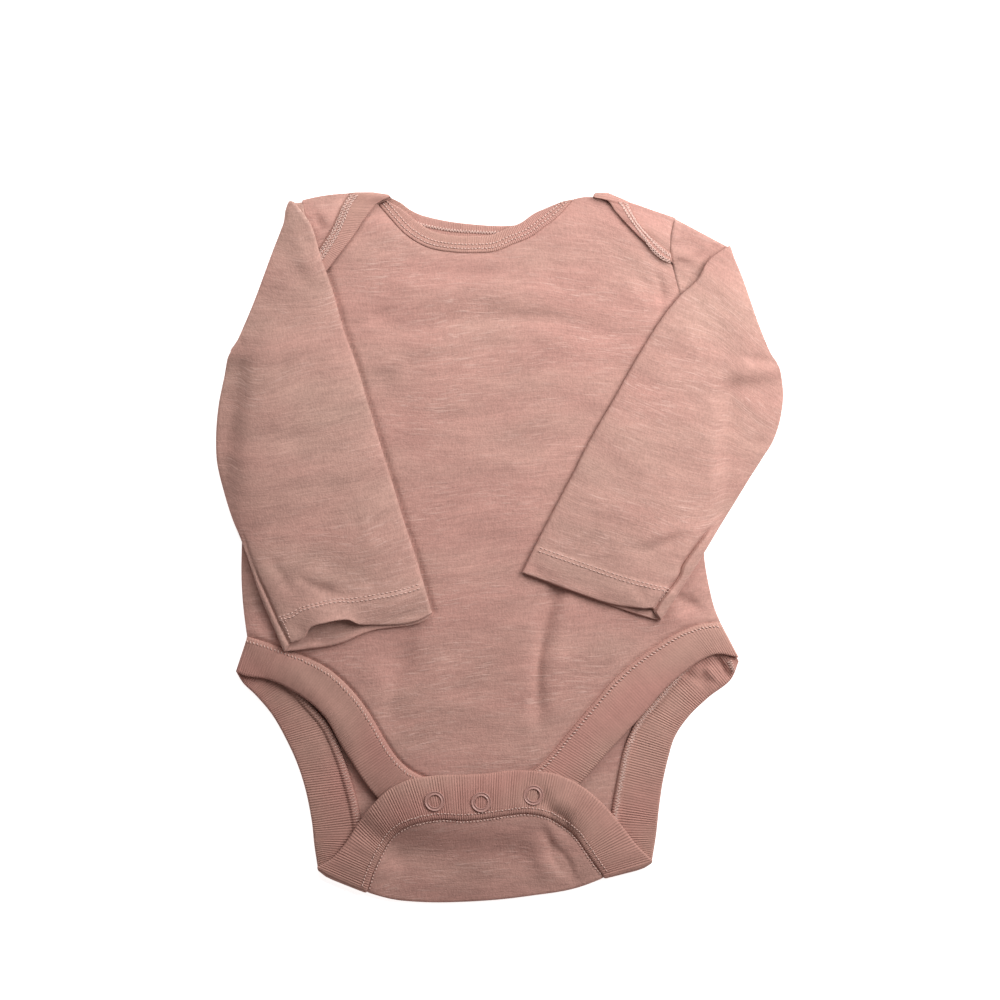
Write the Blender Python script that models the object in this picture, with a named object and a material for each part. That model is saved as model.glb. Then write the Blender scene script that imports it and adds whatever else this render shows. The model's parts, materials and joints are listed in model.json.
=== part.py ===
"""A baby's long-sleeved bodysuit, laid flat with its front up and both sleeves folded over the front.

Every piece of cloth is a closed wall made from rows of points. A row holds the points of the cloth's
right side and those of its wrong side. The pieces are laid from the floor up: a height map holds the top
of all that lies there already, and the next layer rests on a softened copy of it. Left and right are as
seen from above, +Y points to the neck and +Z up. All lengths are in millimetres until the last step.
"""

import math

import bmesh
import bpy
import numpy as np
from mathutils import Vector

MM = 0.001  # metres in a millimetre

# Thickness of the cloth
JERSEY = 1.0
RIB = 2.0  # leg bands, two layers of rib
BINDING = 1.8  # rib strip wrapped round a neck edge
HEM = 1.5  # sleeve end, turned in once

# Clear space between pieces
SEAM_GAP = 0.3  # sewn edge to edge
ARMHOLE_GAP = 0.5
LAYER_GAP = 0.4  # lying on each other

# How far the layers stand off each other where nothing holds them down
FRONT_LOFT = 2.4
FLAP_LOFT = 1.0
SLEEVE_LOFT = 2.2

# Sleeve ends
HEM_DEPTH = 15.0
HEM_STEP = 1.0  # width of the step down from the hem to the single cloth
SLEEVE_NOSE = 2.0  # the folded long edges of a flat sleeve taper over this width

# Snaps
SNAP_OUTER = 10.5
SNAP_HOLE = 6.3
SNAP_HEIGHT = 0.9
SNAP_GAP = 0.3
STUD_WIDTH = 9.0
STUD_HEIGHT = 1.2
STUD_EYE = 2.0
SNAP_SIDES = 20
SNAP_PLACES = ((-33.5, -130.5), (-9.5, -131.0), (17.5, -127.5))  # x, y

# Both side edges of the body, from the shoulder fold to the leg: left x, left y, right x, right y
BODY_SIDES = (
    (-102.5, 178.5, 89.5, 170.0),
    (-100.5, 164.0, 88.0, 157.0),
    (-104.5, 148.0, 90.5, 139.5),
    (-114.0, 125.0, 99.0, 113.5),
    (-122.0, 105.0, 109.0, 91.5),
    (-127.0, 77.0, 109.0, 64.0),
    (-131.5, 40.5, 108.0, 27.5),
    (-133.8, 3.0, 106.5, -7.0),
    (-134.0, -16.5, 109.0, -21.0),
    (-133.0, -31.5, 111.5, -31.0),
    (-131.0, -46.0, 114.5, -38.5),
)
ARMPIT_ROW = 4  # row of BODY_SIDES where the armholes end

# Top edge of the front between its armholes: x, y
FRONT_SHOULDER_LEFT = ((-102.5, 178.5), (-93.5, 180.0), (-80.0, 181.6), (-70.0, 181.2), (-62.5, 178.0))
FRONT_SHOULDER_RIGHT = (
    (38.0, 180.5),
    (43.0, 181.8),
    (52.0, 181.6),
    (67.5, 176.6),
    (79.0, 173.0),
    (89.5, 170.0),
)

# Front neck binding: seam x, seam y, free edge x, free edge y
FRONT_NECK = (
    (-62.5, 178.0, -55.0, 181.0),
    (-56.5, 171.0, -50.0, 176.7),
    (-49.0, 163.0, -43.5, 169.9),
    (-38.5, 156.5, -35.2, 164.7),
    (-23.5, 153.5, -22.7, 162.2),
    (-12.5, 153.2, -13.0, 162.0),
    (-2.5, 154.0, -4.4, 162.6),
    (7.5, 158.0, 4.2, 166.2),
    (15.0, 161.0, 10.8, 168.7),
    (23.0, 166.5, 17.7, 173.5),
    (31.0, 173.0, 24.5, 177.2),
    (38.0, 180.5, 28.0, 178.6),
)

# Shoulder folds of the back, where it turns over to the front: x, y
BACK_SHOULDER_LEFT = ((-102.5, 178.5), (-93.5, 180.8), (-80.5, 182.3))
BACK_SHOULDER_RIGHT = ((64.5, 178.4), (79.0, 173.6), (89.5, 170.0))

# Back neck binding between the shoulder folds: seam x, seam y, free edge x, free edge y
BACK_NECK = (
    (-80.5, 182.3, -58.5, 181.2),
    (-70.0, 174.5, -52.5, 179.4),
    (-57.0, 167.5, -47.0, 175.9),
    (-44.0, 162.5, -40.5, 172.6),
    (-30.5, 159.5, -29.0, 170.1),
    (-14.5, 158.0, -14.5, 167.9),
    (2.0, 158.0, 2.0, 167.4),
    (17.5, 160.5, 15.0, 168.8),
    (31.5, 165.5, 27.0, 173.5),
    (44.0, 171.0, 37.5, 177.8),
    (54.5, 175.5, 46.5, 181.0),
    (64.5, 178.4, 54.0, 182.8),
)

# Shoulder laps on the front, from the fold down: armhole x, y, seam x, y, free edge x, y
LAP_LEFT = (
    (-102.5, 178.5, -80.5, 182.3, -58.5, 181.2),
    (-101.6, 174.0, -81.5, 177.5, -65.0, 176.8),
    (-100.8, 168.5, -83.3, 172.0, -71.0, 168.4),
    (-99.5, 160.0, -88.0, 162.5, -80.5, 154.5),
    (-97.5, 156.0, -92.0, 157.5, -86.0, 147.0),
)
LAP_RIGHT = (
    (89.5, 170.0, 64.5, 178.4, 54.0, 182.8),
    (88.8, 165.5, 69.0, 172.5, 57.8, 176.8),
    (88.3, 162.0, 73.5, 167.0, 63.5, 169.0),
    (88.1, 159.5, 79.0, 161.2, 70.5, 162.0),
    (88.0, 158.0, 84.0, 157.8, 78.5, 155.4),
)
# Last section of each lap's binding, at the armhole: seam x, y, free edge x, y
LAP_END_LEFT = (-95.5, 151.5, -90.5, 141.0)
LAP_END_RIGHT = (87.2, 155.2, 87.6, 148.3)

# Front leg band, left leg, crotch, right leg: seam x, seam y, free edge x, free edge y
FRONT_LEG = (
    (-131.0, -46.0, -137.0, -65.5),
    (-124.0, -48.0, -131.5, -66.3),
    (-113.5, -51.5, -121.5, -67.8),
    (-99.5, -57.0, -110.0, -72.5),
    (-87.0, -64.0, -98.5, -80.0),
    (-75.5, -75.0, -90.0, -88.5),
    (-67.0, -86.5, -83.5, -100.0),
    (-59.5, -99.5, -77.0, -110.5),
    (-53.0, -109.0, -69.5, -122.0),
    (-46.5, -115.0, -62.0, -131.0),
    (-37.0, -119.5, -49.0, -138.0),
    (-23.5, -122.5, -30.0, -142.5),
    (-9.0, -123.0, -7.5, -144.0),
    (4.5, -121.5, 15.0, -141.0),
    (14.0, -117.5, 29.5, -132.5),
    (23.5, -110.0, 42.5, -121.5),
    (34.5, -97.0, 53.0, -109.5),
    (48.0, -81.0, 64.5, -97.0),
    (59.0, -68.5, 75.5, -85.0),
    (69.5, -59.0, 85.5, -73.5),
    (80.0, -51.5, 95.5, -64.5),
    (90.5, -45.0, 105.0, -58.0),
    (104.5, -39.5, 115.0, -55.0),
    (114.5, -38.5, 122.5, -58.0),
)
FRONT_CROTCH = (10, 14)  # rows of FRONT_LEG where the crotch end begins and stops

# Back leg band on the floor, from the side seam to the crotch fold: seam x, y, free edge x, y
BACK_LEG_LEFT = (
    (-131.0, -46.0, -137.5, -65.0),
    (-123.5, -53.0, -133.5, -69.8),
    (-113.0, -63.5, -127.0, -76.3),
    (-99.5, -79.0, -118.0, -87.0),
    (-88.0, -93.0, -111.0, -99.3),
    (-81.5, -107.5, -105.0, -111.5),
    (-76.5, -123.0, -99.6, -126.0),
    (-73.0, -137.0, -96.5, -141.0),
    (-70.5, -157.0, -94.7, -154.0),
    (-68.5, -175.0, -92.5, -164.5),
)
BACK_LEG_RIGHT = (
    (114.5, -38.5, 123.0, -59.5),
    (106.0, -48.5, 119.2, -68.8),
    (94.0, -62.5, 108.5, -77.7),
    (81.0, -77.5, 97.5, -88.5),
    (70.5, -90.5, 90.2, -99.0),
    (65.0, -103.0, 86.8, -109.5),
    (62.0, -116.0, 84.0, -122.0),
    (59.5, -129.0, 82.2, -134.0),
    (56.5, -150.0, 80.3, -149.0),
    (53.5, -167.5, 77.6, -160.8),
)

# Crotch fold of the back, where it turns up to become the flap: x, y
CROTCH_FOLD = (
    (-68.5, -175.0),
    (-54.0, -180.8),
    (-39.5, -182.6),
    (-18.0, -182.4),
    (0.0, -181.2),
    (16.5, -179.2),
    (39.5, -174.5),
    (53.5, -167.5),
)
ROLL_CENTRE = (-8.0, 25.0)  # the crotch fold bulges away from here

# Back leg band on the flap, from the left end of the fold over to the right: seam x, y, free x, y
FLAP_BAND = (
    (-68.5, -175.0, -92.5, -164.5),
    (-66.0, -168.5, -86.0, -160.3),
    (-63.5, -163.0, -80.3, -153.5),
    (-60.5, -157.0, -74.2, -144.0),
    (-56.5, -150.5, -68.0, -135.5),
    (-50.0, -145.0, -59.5, -126.5),
    (-40.5, -141.5, -48.0, -120.0),
    (-30.0, -140.0, -34.0, -117.5),
    (-18.0, -140.5, -19.0, -117.0),
    (-7.5, -139.5, -7.0, -116.5),
    (3.0, -138.0, 4.5, -115.0),
    (14.0, -137.0, 17.0, -115.0),
    (24.5, -139.0, 30.0, -117.0),
    (33.0, -144.0, 43.0, -123.5),
    (39.0, -149.0, 54.0, -133.0),
    (44.0, -156.0, 63.0, -143.5),
    (49.0, -162.5, 71.5, -154.5),
    (53.5, -167.5, 77.6, -160.8),
)
FLAP_CORNERS = (4, 14)  # rows of FLAP_BAND where the flap's seam turns across the top

# Sleeves on top of the front, fold to cuff: inner edge x, inner edge y, outer edge x, outer edge y
SLEEVE_LEFT = (
    (-107.5, 176.8, -130.8, 108.8),
    (-99.3, 165.5, -139.0, 101.5),
    (-93.0, 151.5, -143.2, 88.5),
    (-86.3, 133.0, -146.0, 74.5),
    (-80.0, 111.0, -147.4, 57.0),
    (-73.8, 94.0, -146.8, 44.0),
    (-68.7, 77.0, -143.5, 30.0),
    (-62.7, 57.0, -139.2, 16.5),
    (-56.0, 35.5, -134.4, 5.3),
    (-49.8, 15.0, -129.5, -8.0),
    (-44.0, -2.5, -123.6, -23.5),
    (-35.0, -33.0, -111.5, -50.5),
)
SLEEVE_RIGHT = (
    (118.6, 153.6, 138.3, 97.0),
    (108.8, 149.6, 146.3, 92.8),
    (102.8, 139.5, 147.4, 81.0),
    (93.0, 130.3, 146.0, 67.5),
    (84.0, 119.0, 142.2, 56.0),
    (73.5, 102.5, 135.6, 46.0),
    (59.0, 77.0, 127.5, 34.0),
    (47.2, 56.7, 119.0, 20.5),
    (37.6, 37.8, 111.0, 6.7),
    (29.0, 21.7, 102.8, -7.0),
    (21.2, 6.7, 95.5, -19.0),
    (11.5, -12.5, 84.0, -36.0),
)
# Cuff edges: share of the way across from the inner edge, how far the top layer and the bottom layer
# reach past the straight line between the cuff's two corners
CUFF_LEFT = (
    (0.0, 0.0, 0.0),
    (0.2, 2.6, 3.9),
    (0.4, 2.2, 3.0),
    (0.62, -4.0, 5.0),
    (0.8, 0.5, 5.5),
    (1.0, 0.0, 0.0),
)
CUFF_RIGHT = (
    (0.0, 0.0, 0.0),
    (0.25, 0.5, 0.5),
    (0.5, 0.8, 1.0),
    (0.7, 0.8, 3.5),
    (0.87, -3.0, 3.5),
    (1.0, 0.0, 0.0),
)
CUFF_EASE = 0.4  # how much of the cuff's own curve shows in the middle of the hem

# Largest creases of the front: start x, y, end x, y, half width, height above or below the cloth round it
FRONT_CREASES = (
    (30.0, -22.0, 22.0, -45.0, 8.0, -1.5),
    (22.0, -45.0, 19.0, -90.0, 8.0, -1.2),
    (38.0, -30.0, 33.0, -80.0, 9.0, 0.8),
    (-45.0, -45.0, -55.0, -80.0, 10.0, -0.8),
    (-20.0, 130.0, 30.0, 118.0, 9.0, 0.6),
)
CREASE_END = 0.4  # share of a crease's height left at its two ends

# How finely each piece is divided
SIDE_ROWS = 15
BACK_LEG_ROWS = 10
FRONT_LEG_ROWS = 12
FLAP_ROWS = 5
LAP_ROWS = 5
NECK_COLUMNS = 12
SHOULDER_COLUMNS = 4
SLEEVE_ROWS = 15
SLEEVE_COLUMNS = 10
FOLD_STEPS = 4
BAND_COLUMNS = 3

# Height map
CELL = 2.0
MAP_X = np.arange(-164.0, 165.0, CELL)
MAP_Y = np.arange(-204.0, 205.0, CELL)
CELL_X, CELL_Y = np.meshgrid(MAP_X, MAP_Y)
DRAPE = 3  # cells over which cloth eases off an edge beneath it
FRONT_DOME = 6  # cells over which each part's loft rises from its edges
FLAP_DOME = 3
SLEEVE_DOME = 4
DOME_SHAPE = 0.8  # power that rounds off a dome's rise

# Distance over which the bend of a panel's end dies out along it
NECK_REACH = 120.0
LAP_REACH = 30.0
FLAP_REACH = 45.0
UP_THE_NECK = np.array([0.0, 1.0, 0.0])
SHARP_ANGLE = math.radians(40)  # edges bent further than this look sharp

# Colours, linear
PINK = (0.60, 0.34, 0.29, 1.0)
PINK_RIB = (0.52, 0.28, 0.24, 1.0)
PINK_ENAMEL = (0.58, 0.33, 0.29, 1.0)
STEEL = (0.62, 0.62, 0.62, 1.0)


def smooth(table, count=0, at=None):
    """Points on a smooth curve through a table's rows, evenly spaced or at given shares of its length."""
    rows = np.array(table, float)
    reach = np.r_[0.0, np.cumsum(np.linalg.norm(np.diff(rows, axis=0), axis=1))]
    slope = np.gradient(rows, reach, axis=0)
    place = reach[-1] * (np.linspace(0, 1, count) if at is None else np.asarray(at))
    k = np.clip(np.searchsorted(reach, place, "right") - 1, 0, len(rows) - 2)
    span = (reach[k + 1] - reach[k])[:, None]
    f = (place - reach[k])[:, None] / span
    ends = rows[k] * (1 + 2 * f) * (1 - f) ** 2 + rows[k + 1] * (3 - 2 * f) * f**2
    return ends + span * (slope[k] * f * (1 - f) ** 2 - slope[k + 1] * (1 - f) * f**2)


def shares(table):
    """Share of a table's whole length at which each of its rows lies."""
    reach = np.cumsum(np.linalg.norm(np.diff(np.array(table, float), axis=0), axis=1))
    return np.r_[0.0, reach] / reach[-1]


def track(table, corners, rows, across):
    """Sections of a band that runs up one side of a panel, over its end and down the other side.

    Returns them all, and those beside the left edge, the end and the right edge.
    """
    first, last = shares(table)[list(corners)]
    at = np.r_[
        np.linspace(0, first, rows + 1),
        first + (last - first) * across[1:-1],
        np.linspace(last, 1, rows + 1),
    ]
    sections = smooth(table, at=at)
    return sections, sections[: rows + 1], sections[rows:-rows], sections[: -rows - 2 : -1]


def grid(left, right, first, last, reach):
    """Plan points between two side edges. The first and last rows follow their own curves, and the rows
    next to them bend less and less, over reach or all the way to the other end."""
    sides = (left + right) / 2
    length = np.r_[0.0, np.cumsum(np.linalg.norm(np.diff(sides, axis=0), axis=1))]
    reach = min(reach, length[-1])
    rows = left[:, None] + column_shares(first)[None, :, None] * (right - left)[:, None]
    near_first = np.clip(1 - length / reach, 0, 1) ** 2
    near_last = np.clip(1 - (length[-1] - length) / reach, 0, 1) ** 2
    bent = rows + near_first[:, None, None] * (first - rows[0])
    return bent + near_last[:, None, None] * (last - rows[-1])


def inside(outline):
    """Cells of the height map within a closed outline."""
    hit = np.zeros(CELL_X.shape, bool)
    for (ax, ay), (bx, by) in zip(outline, np.roll(outline, -1, axis=0)):
        if ay != by:
            crosses = (ay > CELL_Y) != (by > CELL_Y)
            hit ^= crosses & (CELL_X < ax + (CELL_Y - ay) * (bx - ax) / (by - ay))
    return hit


def blurred(field, cells):
    """A field spread by three sliding means, each over cells on both sides."""
    for _ in range(3):
        for axis in (0, 1):
            field = np.mean([np.roll(field, k, axis) for k in range(-cells, cells + 1)], axis=0)
    return field


def draped(top):
    """Height of the underside of cloth laid on what the height map holds."""
    stood = np.where(top > 0, top + LAYER_GAP, 0.0)
    for axis in (0, 1):
        stood = np.max([np.roll(stood, k, axis) for k in range(-DRAPE, DRAPE + 1)], axis=0)
    return blurred(stood, DRAPE // 3)


def loft(area, height, cells):
    """A soft dome over an area, nothing at its edges and full height well inside."""
    return height * np.clip(2 * blurred(area.astype(float), cells) - 1, 0, 1) ** DOME_SHAPE


def crease(x0, y0, x1, y1, width, height):
    """A soft trough or ridge between two points, fading at both ends."""
    dx, dy = x1 - x0, y1 - y0
    along = np.clip(((CELL_X - x0) * dx + (CELL_Y - y0) * dy) / (dx * dx + dy * dy), 0, 1)
    off = np.hypot(CELL_X - x0 - along * dx, CELL_Y - y0 - along * dy)
    strength = CREASE_END + (1 - CREASE_END) * np.sin(math.pi * along)
    return height * np.exp(-((off / width) ** 2)) * strength


def read(field, plan):
    """Values of a map's field at plan points."""
    x = (plan[..., 0] - MAP_X[0]) / CELL
    y = (plan[..., 1] - MAP_Y[0]) / CELL
    i, j = np.floor(x).astype(int), np.floor(y).astype(int)
    fx, fy = x - i, y - j
    low = field[j, i] * (1 - fx) + field[j, i + 1] * fx
    high = field[j + 1, i] * (1 - fx) + field[j + 1, i + 1] * fx
    return low * (1 - fy) + high * fy


def lay(top, outline, under, thickness):
    """Adds a piece to the height map, given its outline in plan and the height of its underside."""
    area = inside(outline)
    top[area] = np.maximum(top, under + thickness)[area]


def layer(plan, under, thickness, face_up):
    """A row's right side and wrong side, where the cloth lies flat."""
    low = np.concatenate([plan, np.broadcast_to(under, plan.shape[:-1])[..., None]], -1)
    high = low + (0.0, 0.0, thickness)
    return (high, low) if face_up else (low, high)


def turn(lower, upper, outward):
    """Rows that carry the cloth round a fold from a lower row to the row above it."""
    rows = []
    for angle in np.linspace(-math.pi / 2, math.pi / 2, FOLD_STEPS + 2)[1:-1]:
        row = []
        for low, high in zip(lower, upper):
            half = (high - low) / 2
            bulge = np.linalg.norm(half, axis=-1, keepdims=True) * math.cos(angle)
            row.append((low + high) / 2 + half * math.sin(angle) + outward * bulge)
        rows.append(row)
    return rows


def strip(sections, gap=SEAM_GAP):
    """Plan points across a band, from its seam, kept clear of the panel, to its free edge."""
    seam, free = sections[:, :2], sections[:, 2:]
    away = (free - seam) / np.linalg.norm(free - seam, axis=1, keepdims=True)
    seam = seam + gap * away
    across = np.linspace(0, 1, BAND_COLUMNS + 1)[None, :, None]
    return seam[:, None] * (1 - across) + free[:, None] * across


def rim(plan):
    """Closed outline of a grid of plan points."""
    return np.concatenate([plan[0], plan[1:, -1], plan[-1, -2::-1], plan[-2:0:-1, 0]])


class Wall:
    """A wall of cloth put together from rows, each a right side and a wrong side."""

    def __init__(self):
        self.known = {}
        self.points = []
        self.faces = []

    def number(self, right, wrong):
        """Number of a pair of points, one on each side; a pair that is there already keeps its own."""
        key = tuple(np.round((*right, *wrong), 4))
        if key not in self.known:
            self.known[key] = len(self.points)
            self.points.append((right, wrong))
        return self.known[key]

    def add(self, rows, ring=False):
        """Joins each row to the next, and in a ring each row's last point to its first."""
        named = [[self.number(r, w) for r, w in zip(*row)] for row in rows]
        for low, high in zip(named, named[1:]):
            for k in range(len(low) - (0 if ring else 1)):
                m = (k + 1) % len(low)
                corners = list(dict.fromkeys((low[k], low[m], high[m], high[k])))
                if len(corners) > 2:
                    self.faces.append(corners)

    def solid(self, name, material):
        """Closes the wall round its free edges and makes it an object."""
        count = len(self.points)
        edges = {}
        for face in self.faces:
            for a, b in zip(face, face[1:] + face[:1]):
                edges.setdefault(frozenset((a, b)), []).append((a, b))
        faces = self.faces + [[k + count for k in reversed(face)] for face in self.faces]
        for used in edges.values():
            if len(used) == 1:
                a, b = used[0]
                faces.append([b, a, a + count, b + count])
        points = [p[0] for p in self.points] + [p[1] for p in self.points]
        return new_object(name, points, faces, material)


def new_object(name, points, faces, material):
    """A mesh object from points in millimetres, its faces pointing out."""
    mesh = bpy.data.meshes.new(name)
    mesh.from_pydata((np.array(points) * MM).tolist(), [], faces)
    mesh.materials.append(material)
    face_outwards(mesh)
    mesh.shade_smooth()
    mesh.set_sharp_from_angle(angle=SHARP_ANGLE)
    obj = bpy.data.objects.new(name, mesh)
    bpy.context.scene.collection.objects.link(obj)
    return obj


def face_outwards(mesh):
    """Turns every face of a closed mesh to point out of it."""
    work = bmesh.new()
    work.from_mesh(mesh)
    bmesh.ops.triangulate(work, faces=work.faces, quad_method="SHORT_EDGE")
    bmesh.ops.recalc_face_normals(work, faces=work.faces)
    work.to_mesh(mesh)
    work.free()


def new_material(name, colour, roughness, metallic=0.0):
    """A plain Principled material."""
    material = bpy.data.materials.new(name)
    material.use_nodes = True
    shader = material.node_tree.nodes["Principled BSDF"]
    shader.inputs["Base Color"].default_value = colour
    shader.inputs["Roughness"].default_value = roughness
    shader.inputs["Metallic"].default_value = metallic
    return material


def patch_columns(*curves):
    """One row of plan points from curves that follow each other."""
    return np.concatenate([curves[0]] + [curve[1:] for curve in curves[1:]])


def body_edges(left_leg, right_leg):
    """Side edges of a body panel, shoulder to crotch, from its leg seams."""
    sides = smooth(BODY_SIDES, SIDE_ROWS + 1)
    return (
        np.concatenate([sides[:, :2], left_leg[1:, :2]]),
        np.concatenate([sides[:, 2:], right_leg[1:, :2]]),
    )


def column_shares(first):
    """Share of the way across at which each column of a panel starts."""
    return (first[:, 0] - first[0, 0]) / (first[-1, 0] - first[0, 0])


def front_plan():
    """Plan of the front panel, of its leg band's sections and of its neck binding's sections."""
    neck = smooth(FRONT_NECK, NECK_COLUMNS + 1)
    first = patch_columns(
        smooth(FRONT_SHOULDER_LEFT, SHOULDER_COLUMNS + 1),
        neck[:, :2],
        smooth(FRONT_SHOULDER_RIGHT, SHOULDER_COLUMNS + 2),
    )
    leg, left_leg, end, right_leg = track(FRONT_LEG, FRONT_CROTCH, FRONT_LEG_ROWS, column_shares(first))
    left, right = body_edges(left_leg, right_leg)
    return grid(left, right, first, end[:, :2], NECK_REACH), leg, neck


def back_plan():
    """Plan of the back panel on the floor, and of the sections of its leg bands and neck binding there."""
    neck = smooth(BACK_NECK, NECK_COLUMNS + 1)
    first = patch_columns(
        smooth(BACK_SHOULDER_LEFT, SHOULDER_COLUMNS + 1),
        neck[:, :2],
        smooth(BACK_SHOULDER_RIGHT, SHOULDER_COLUMNS + 1),
    )
    left_leg = smooth(BACK_LEG_LEFT, BACK_LEG_ROWS + 1)
    right_leg = smooth(BACK_LEG_RIGHT, BACK_LEG_ROWS + 1)
    left, right = body_edges(left_leg, right_leg)
    last = smooth(CROTCH_FOLD, at=column_shares(first))
    return grid(left, right, first, last, NECK_REACH), left_leg, right_leg, neck


def lap_plan(table, fold, from_armhole):
    """Plan of a shoulder lap, and its binding's sections from the fold down."""
    lap = smooth(table, LAP_ROWS + 1)
    edge, seam = lap[:, :2], lap[:, 2:4]
    left, right = (edge, seam) if from_armhole else (seam, edge)
    last = left[-1] + np.linspace(0, 1, len(fold))[:, None] * (right[-1] - left[-1])
    return grid(left, right, fold, last, LAP_REACH), lap[:, 2:]


def flat_rows(plan, under, thickness, face_up):
    """Rows of a layer, from its plan points and the height field of its underside."""
    return [layer(row, read(under, row), thickness, face_up) for row in plan]


def make_front(plan, leg, neck, under, jersey, rib):
    """Front panel, its leg band and its neck binding."""
    panel = Wall()
    panel.add(flat_rows(plan, under, JERSEY, True))
    band = Wall()
    band.add(flat_rows(strip(leg), under, RIB, True))
    binding = Wall()
    binding.add(flat_rows(strip(neck), under, BINDING, True))
    return [
        panel.solid("front_panel", jersey),
        band.solid("front_leg_band", rib),
        binding.solid("front_neck_binding", rib),
    ]


def make_back(plan, flap, laps, under, jersey):
    """Back panel: laps over both shoulders, the back on the floor, and the flap over the crotch."""
    panel = Wall()
    floor = [layer(row, 0.0, JERSEY, False) for row in plan]
    panel.add(floor)
    shoulders = (slice(None, SHOULDER_COLUMNS + 1), slice(-SHOULDER_COLUMNS - 1, None))
    for lap, columns in zip(laps, shoulders):
        lower = [side[columns] for side in floor[0]]
        upper = flat_rows(lap, under, JERSEY, True)
        panel.add([lower] + turn(lower, upper[0], UP_THE_NECK) + upper)
    upper = flat_rows(flap, under, JERSEY, True)
    panel.add([floor[-1]] + turn(floor[-1], upper[0], away_from_centre(flap[0])) + upper)
    return panel.solid("back_panel", jersey)


def make_back_band(left, right, flap, under, rib):
    """Back leg band: down the left leg, round the fold, over the flap, and back up the right leg."""
    down, across, up = strip(left), strip(flap), strip(right)[::-1]
    lower_left = [layer(row, 0.0, RIB, False) for row in down]
    lower_right = [layer(row, 0.0, RIB, False) for row in up]
    upper = flat_rows(across, under, RIB, True)
    first_turn = turn(lower_left[-1], upper[0], away_from_centre(across[0]))
    last_turn = turn(lower_right[0], upper[-1], away_from_centre(across[-1]))
    band = Wall()
    band.add(lower_left + first_turn + upper + last_turn[::-1] + lower_right)
    return band.solid("back_leg_band", rib)


def make_back_binding(neck, left, right, under, rib):
    """Back neck binding: up the left lap, over the shoulder, round the neck, and down the right lap."""
    up, across, down = strip(left[::-1]), strip(neck), strip(right)
    upper_left = flat_rows(up, under, BINDING, True)
    upper_right = flat_rows(down, under, BINDING, True)
    floor = [layer(row, 0.0, BINDING, False) for row in across]
    first_turn = turn(floor[0], upper_left[-1], UP_THE_NECK)
    last_turn = turn(floor[-1], upper_right[0], UP_THE_NECK)
    binding = Wall()
    binding.add(upper_left + first_turn[::-1] + floor + last_turn + upper_right)
    return binding.solid("back_neck_binding", rib)


def away_from_centre(plan):
    """Unit vectors in plan that point from the crotch fold's centre to each point."""
    away = plan - ROLL_CENTRE
    away = away / np.linalg.norm(away, axis=1, keepdims=True)
    return np.c_[away, np.zeros(len(away))]


def sleeve_shares(width):
    """Shares of the way across a flat sleeve, with one point close to each folded edge."""
    nose = SLEEVE_NOSE / width
    return np.r_[0.0, np.linspace(nose, 1 - nose, SLEEVE_COLUMNS - 1), 1.0]


def ring(over, under, heights, thickness, face_up):
    """One row round a flat tube. over and under are the plan points of its top and bottom layer, from one
    folded edge to the other; heights gives the underside of the tube and the space inside it there."""
    low, space = heights(under)
    bottom = layer(under, low, thickness, False)
    low, space = heights(over)
    top = layer(over, low + thickness + space, thickness, True)
    middle = slice(1, -1)
    edges = []
    for k, inward in ((0, over[1] - over[0]), (-1, over[-2] - over[-1])):
        height = (bottom[0][k][2] + top[0][k][2]) / 2
        inner = over[k] + thickness * inward / np.linalg.norm(inward)
        edges.append((np.r_[over[k], height], np.r_[inner, height]))
    near, far = (top, bottom) if face_up else (bottom, top)
    return [
        np.concatenate([[edges[0][s]], near[s][middle], [edges[1][s]], far[s][middle][::-1]])
        for s in (0, 1)
    ]


def sleeve_sections(table):
    """Sections of a sleeve from its fold to its cuff: both ends, how much of the cuff's own curve the
    section takes, and the cloth's thickness there."""
    reach = np.linalg.norm(np.diff(np.array(table), axis=0), axis=1).sum() / math.sqrt(2)
    hem = 1 - HEM_DEPTH / reach
    places = np.r_[np.linspace(0, hem, SLEEVE_ROWS), hem + HEM_STEP / reach, (1 + hem) / 2, 1.0]
    bends = np.r_[np.zeros(SLEEVE_ROWS + 1), CUFF_EASE, 1.0]
    thickness = np.r_[np.full(SLEEVE_ROWS, JERSEY), np.full(len(places) - SLEEVE_ROWS, HEM)]
    return zip(smooth(table, at=places), bends, thickness)


def make_sleeve(name, table, armhole, cuff, heights, jersey):
    """A sleeve: its cap from the armhole out to the fold on the floor, then back over the front."""
    share, top_reach, bottom_reach = np.transpose(cuff)
    upper = []
    for section, bend, thickness in sleeve_sections(table):
        across = section[2:] - section[:2]
        width = np.linalg.norm(across)
        at = sleeve_shares(width)
        straight = section[:2] + at[:, None] * across
        along = np.array([across[1], -across[0]]) / width
        along = bend * math.copysign(1.0, -along[1]) * along
        over = straight + along * np.interp(at, share, top_reach)[:, None]
        under = straight + along * np.interp(at, share, bottom_reach)[:, None]
        upper.append(ring(over, under, heights, thickness, True))
        if len(upper) == 1:
            fold = straight
    cap = [
        ring(plan, plan, lambda at: (np.zeros(len(at)), LAYER_GAP), JERSEY, False)
        for plan in (armhole, (armhole + fold) / 2, fold)
    ]
    wall = Wall()
    wall.add(cap + turn(cap[-1], upper[0], fold_outward(fold, armhole)) + upper, ring=True)
    return wall.solid(name, jersey)


def fold_outward(fold, armhole):
    """Unit vector in plan, square to a sleeve's fold and pointing away from the armhole."""
    along = fold[-1] - fold[0]
    square = np.array([along[1], -along[0], 0.0]) / np.linalg.norm(along)
    return square * math.copysign(1.0, square[:2] @ (fold.mean(0) - armhole.mean(0)))


def armhole_plan(table, side, shift):
    """Plan points down one armhole of the body, moved off it, one for each column of the sleeve."""
    first = np.array(table[0])
    at = sleeve_shares(np.linalg.norm(first[2:] - first[:2]))
    return smooth(BODY_SIDES, at=at * shares(BODY_SIDES)[ARMPIT_ROW])[:, side] + (shift, 0.0)


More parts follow.
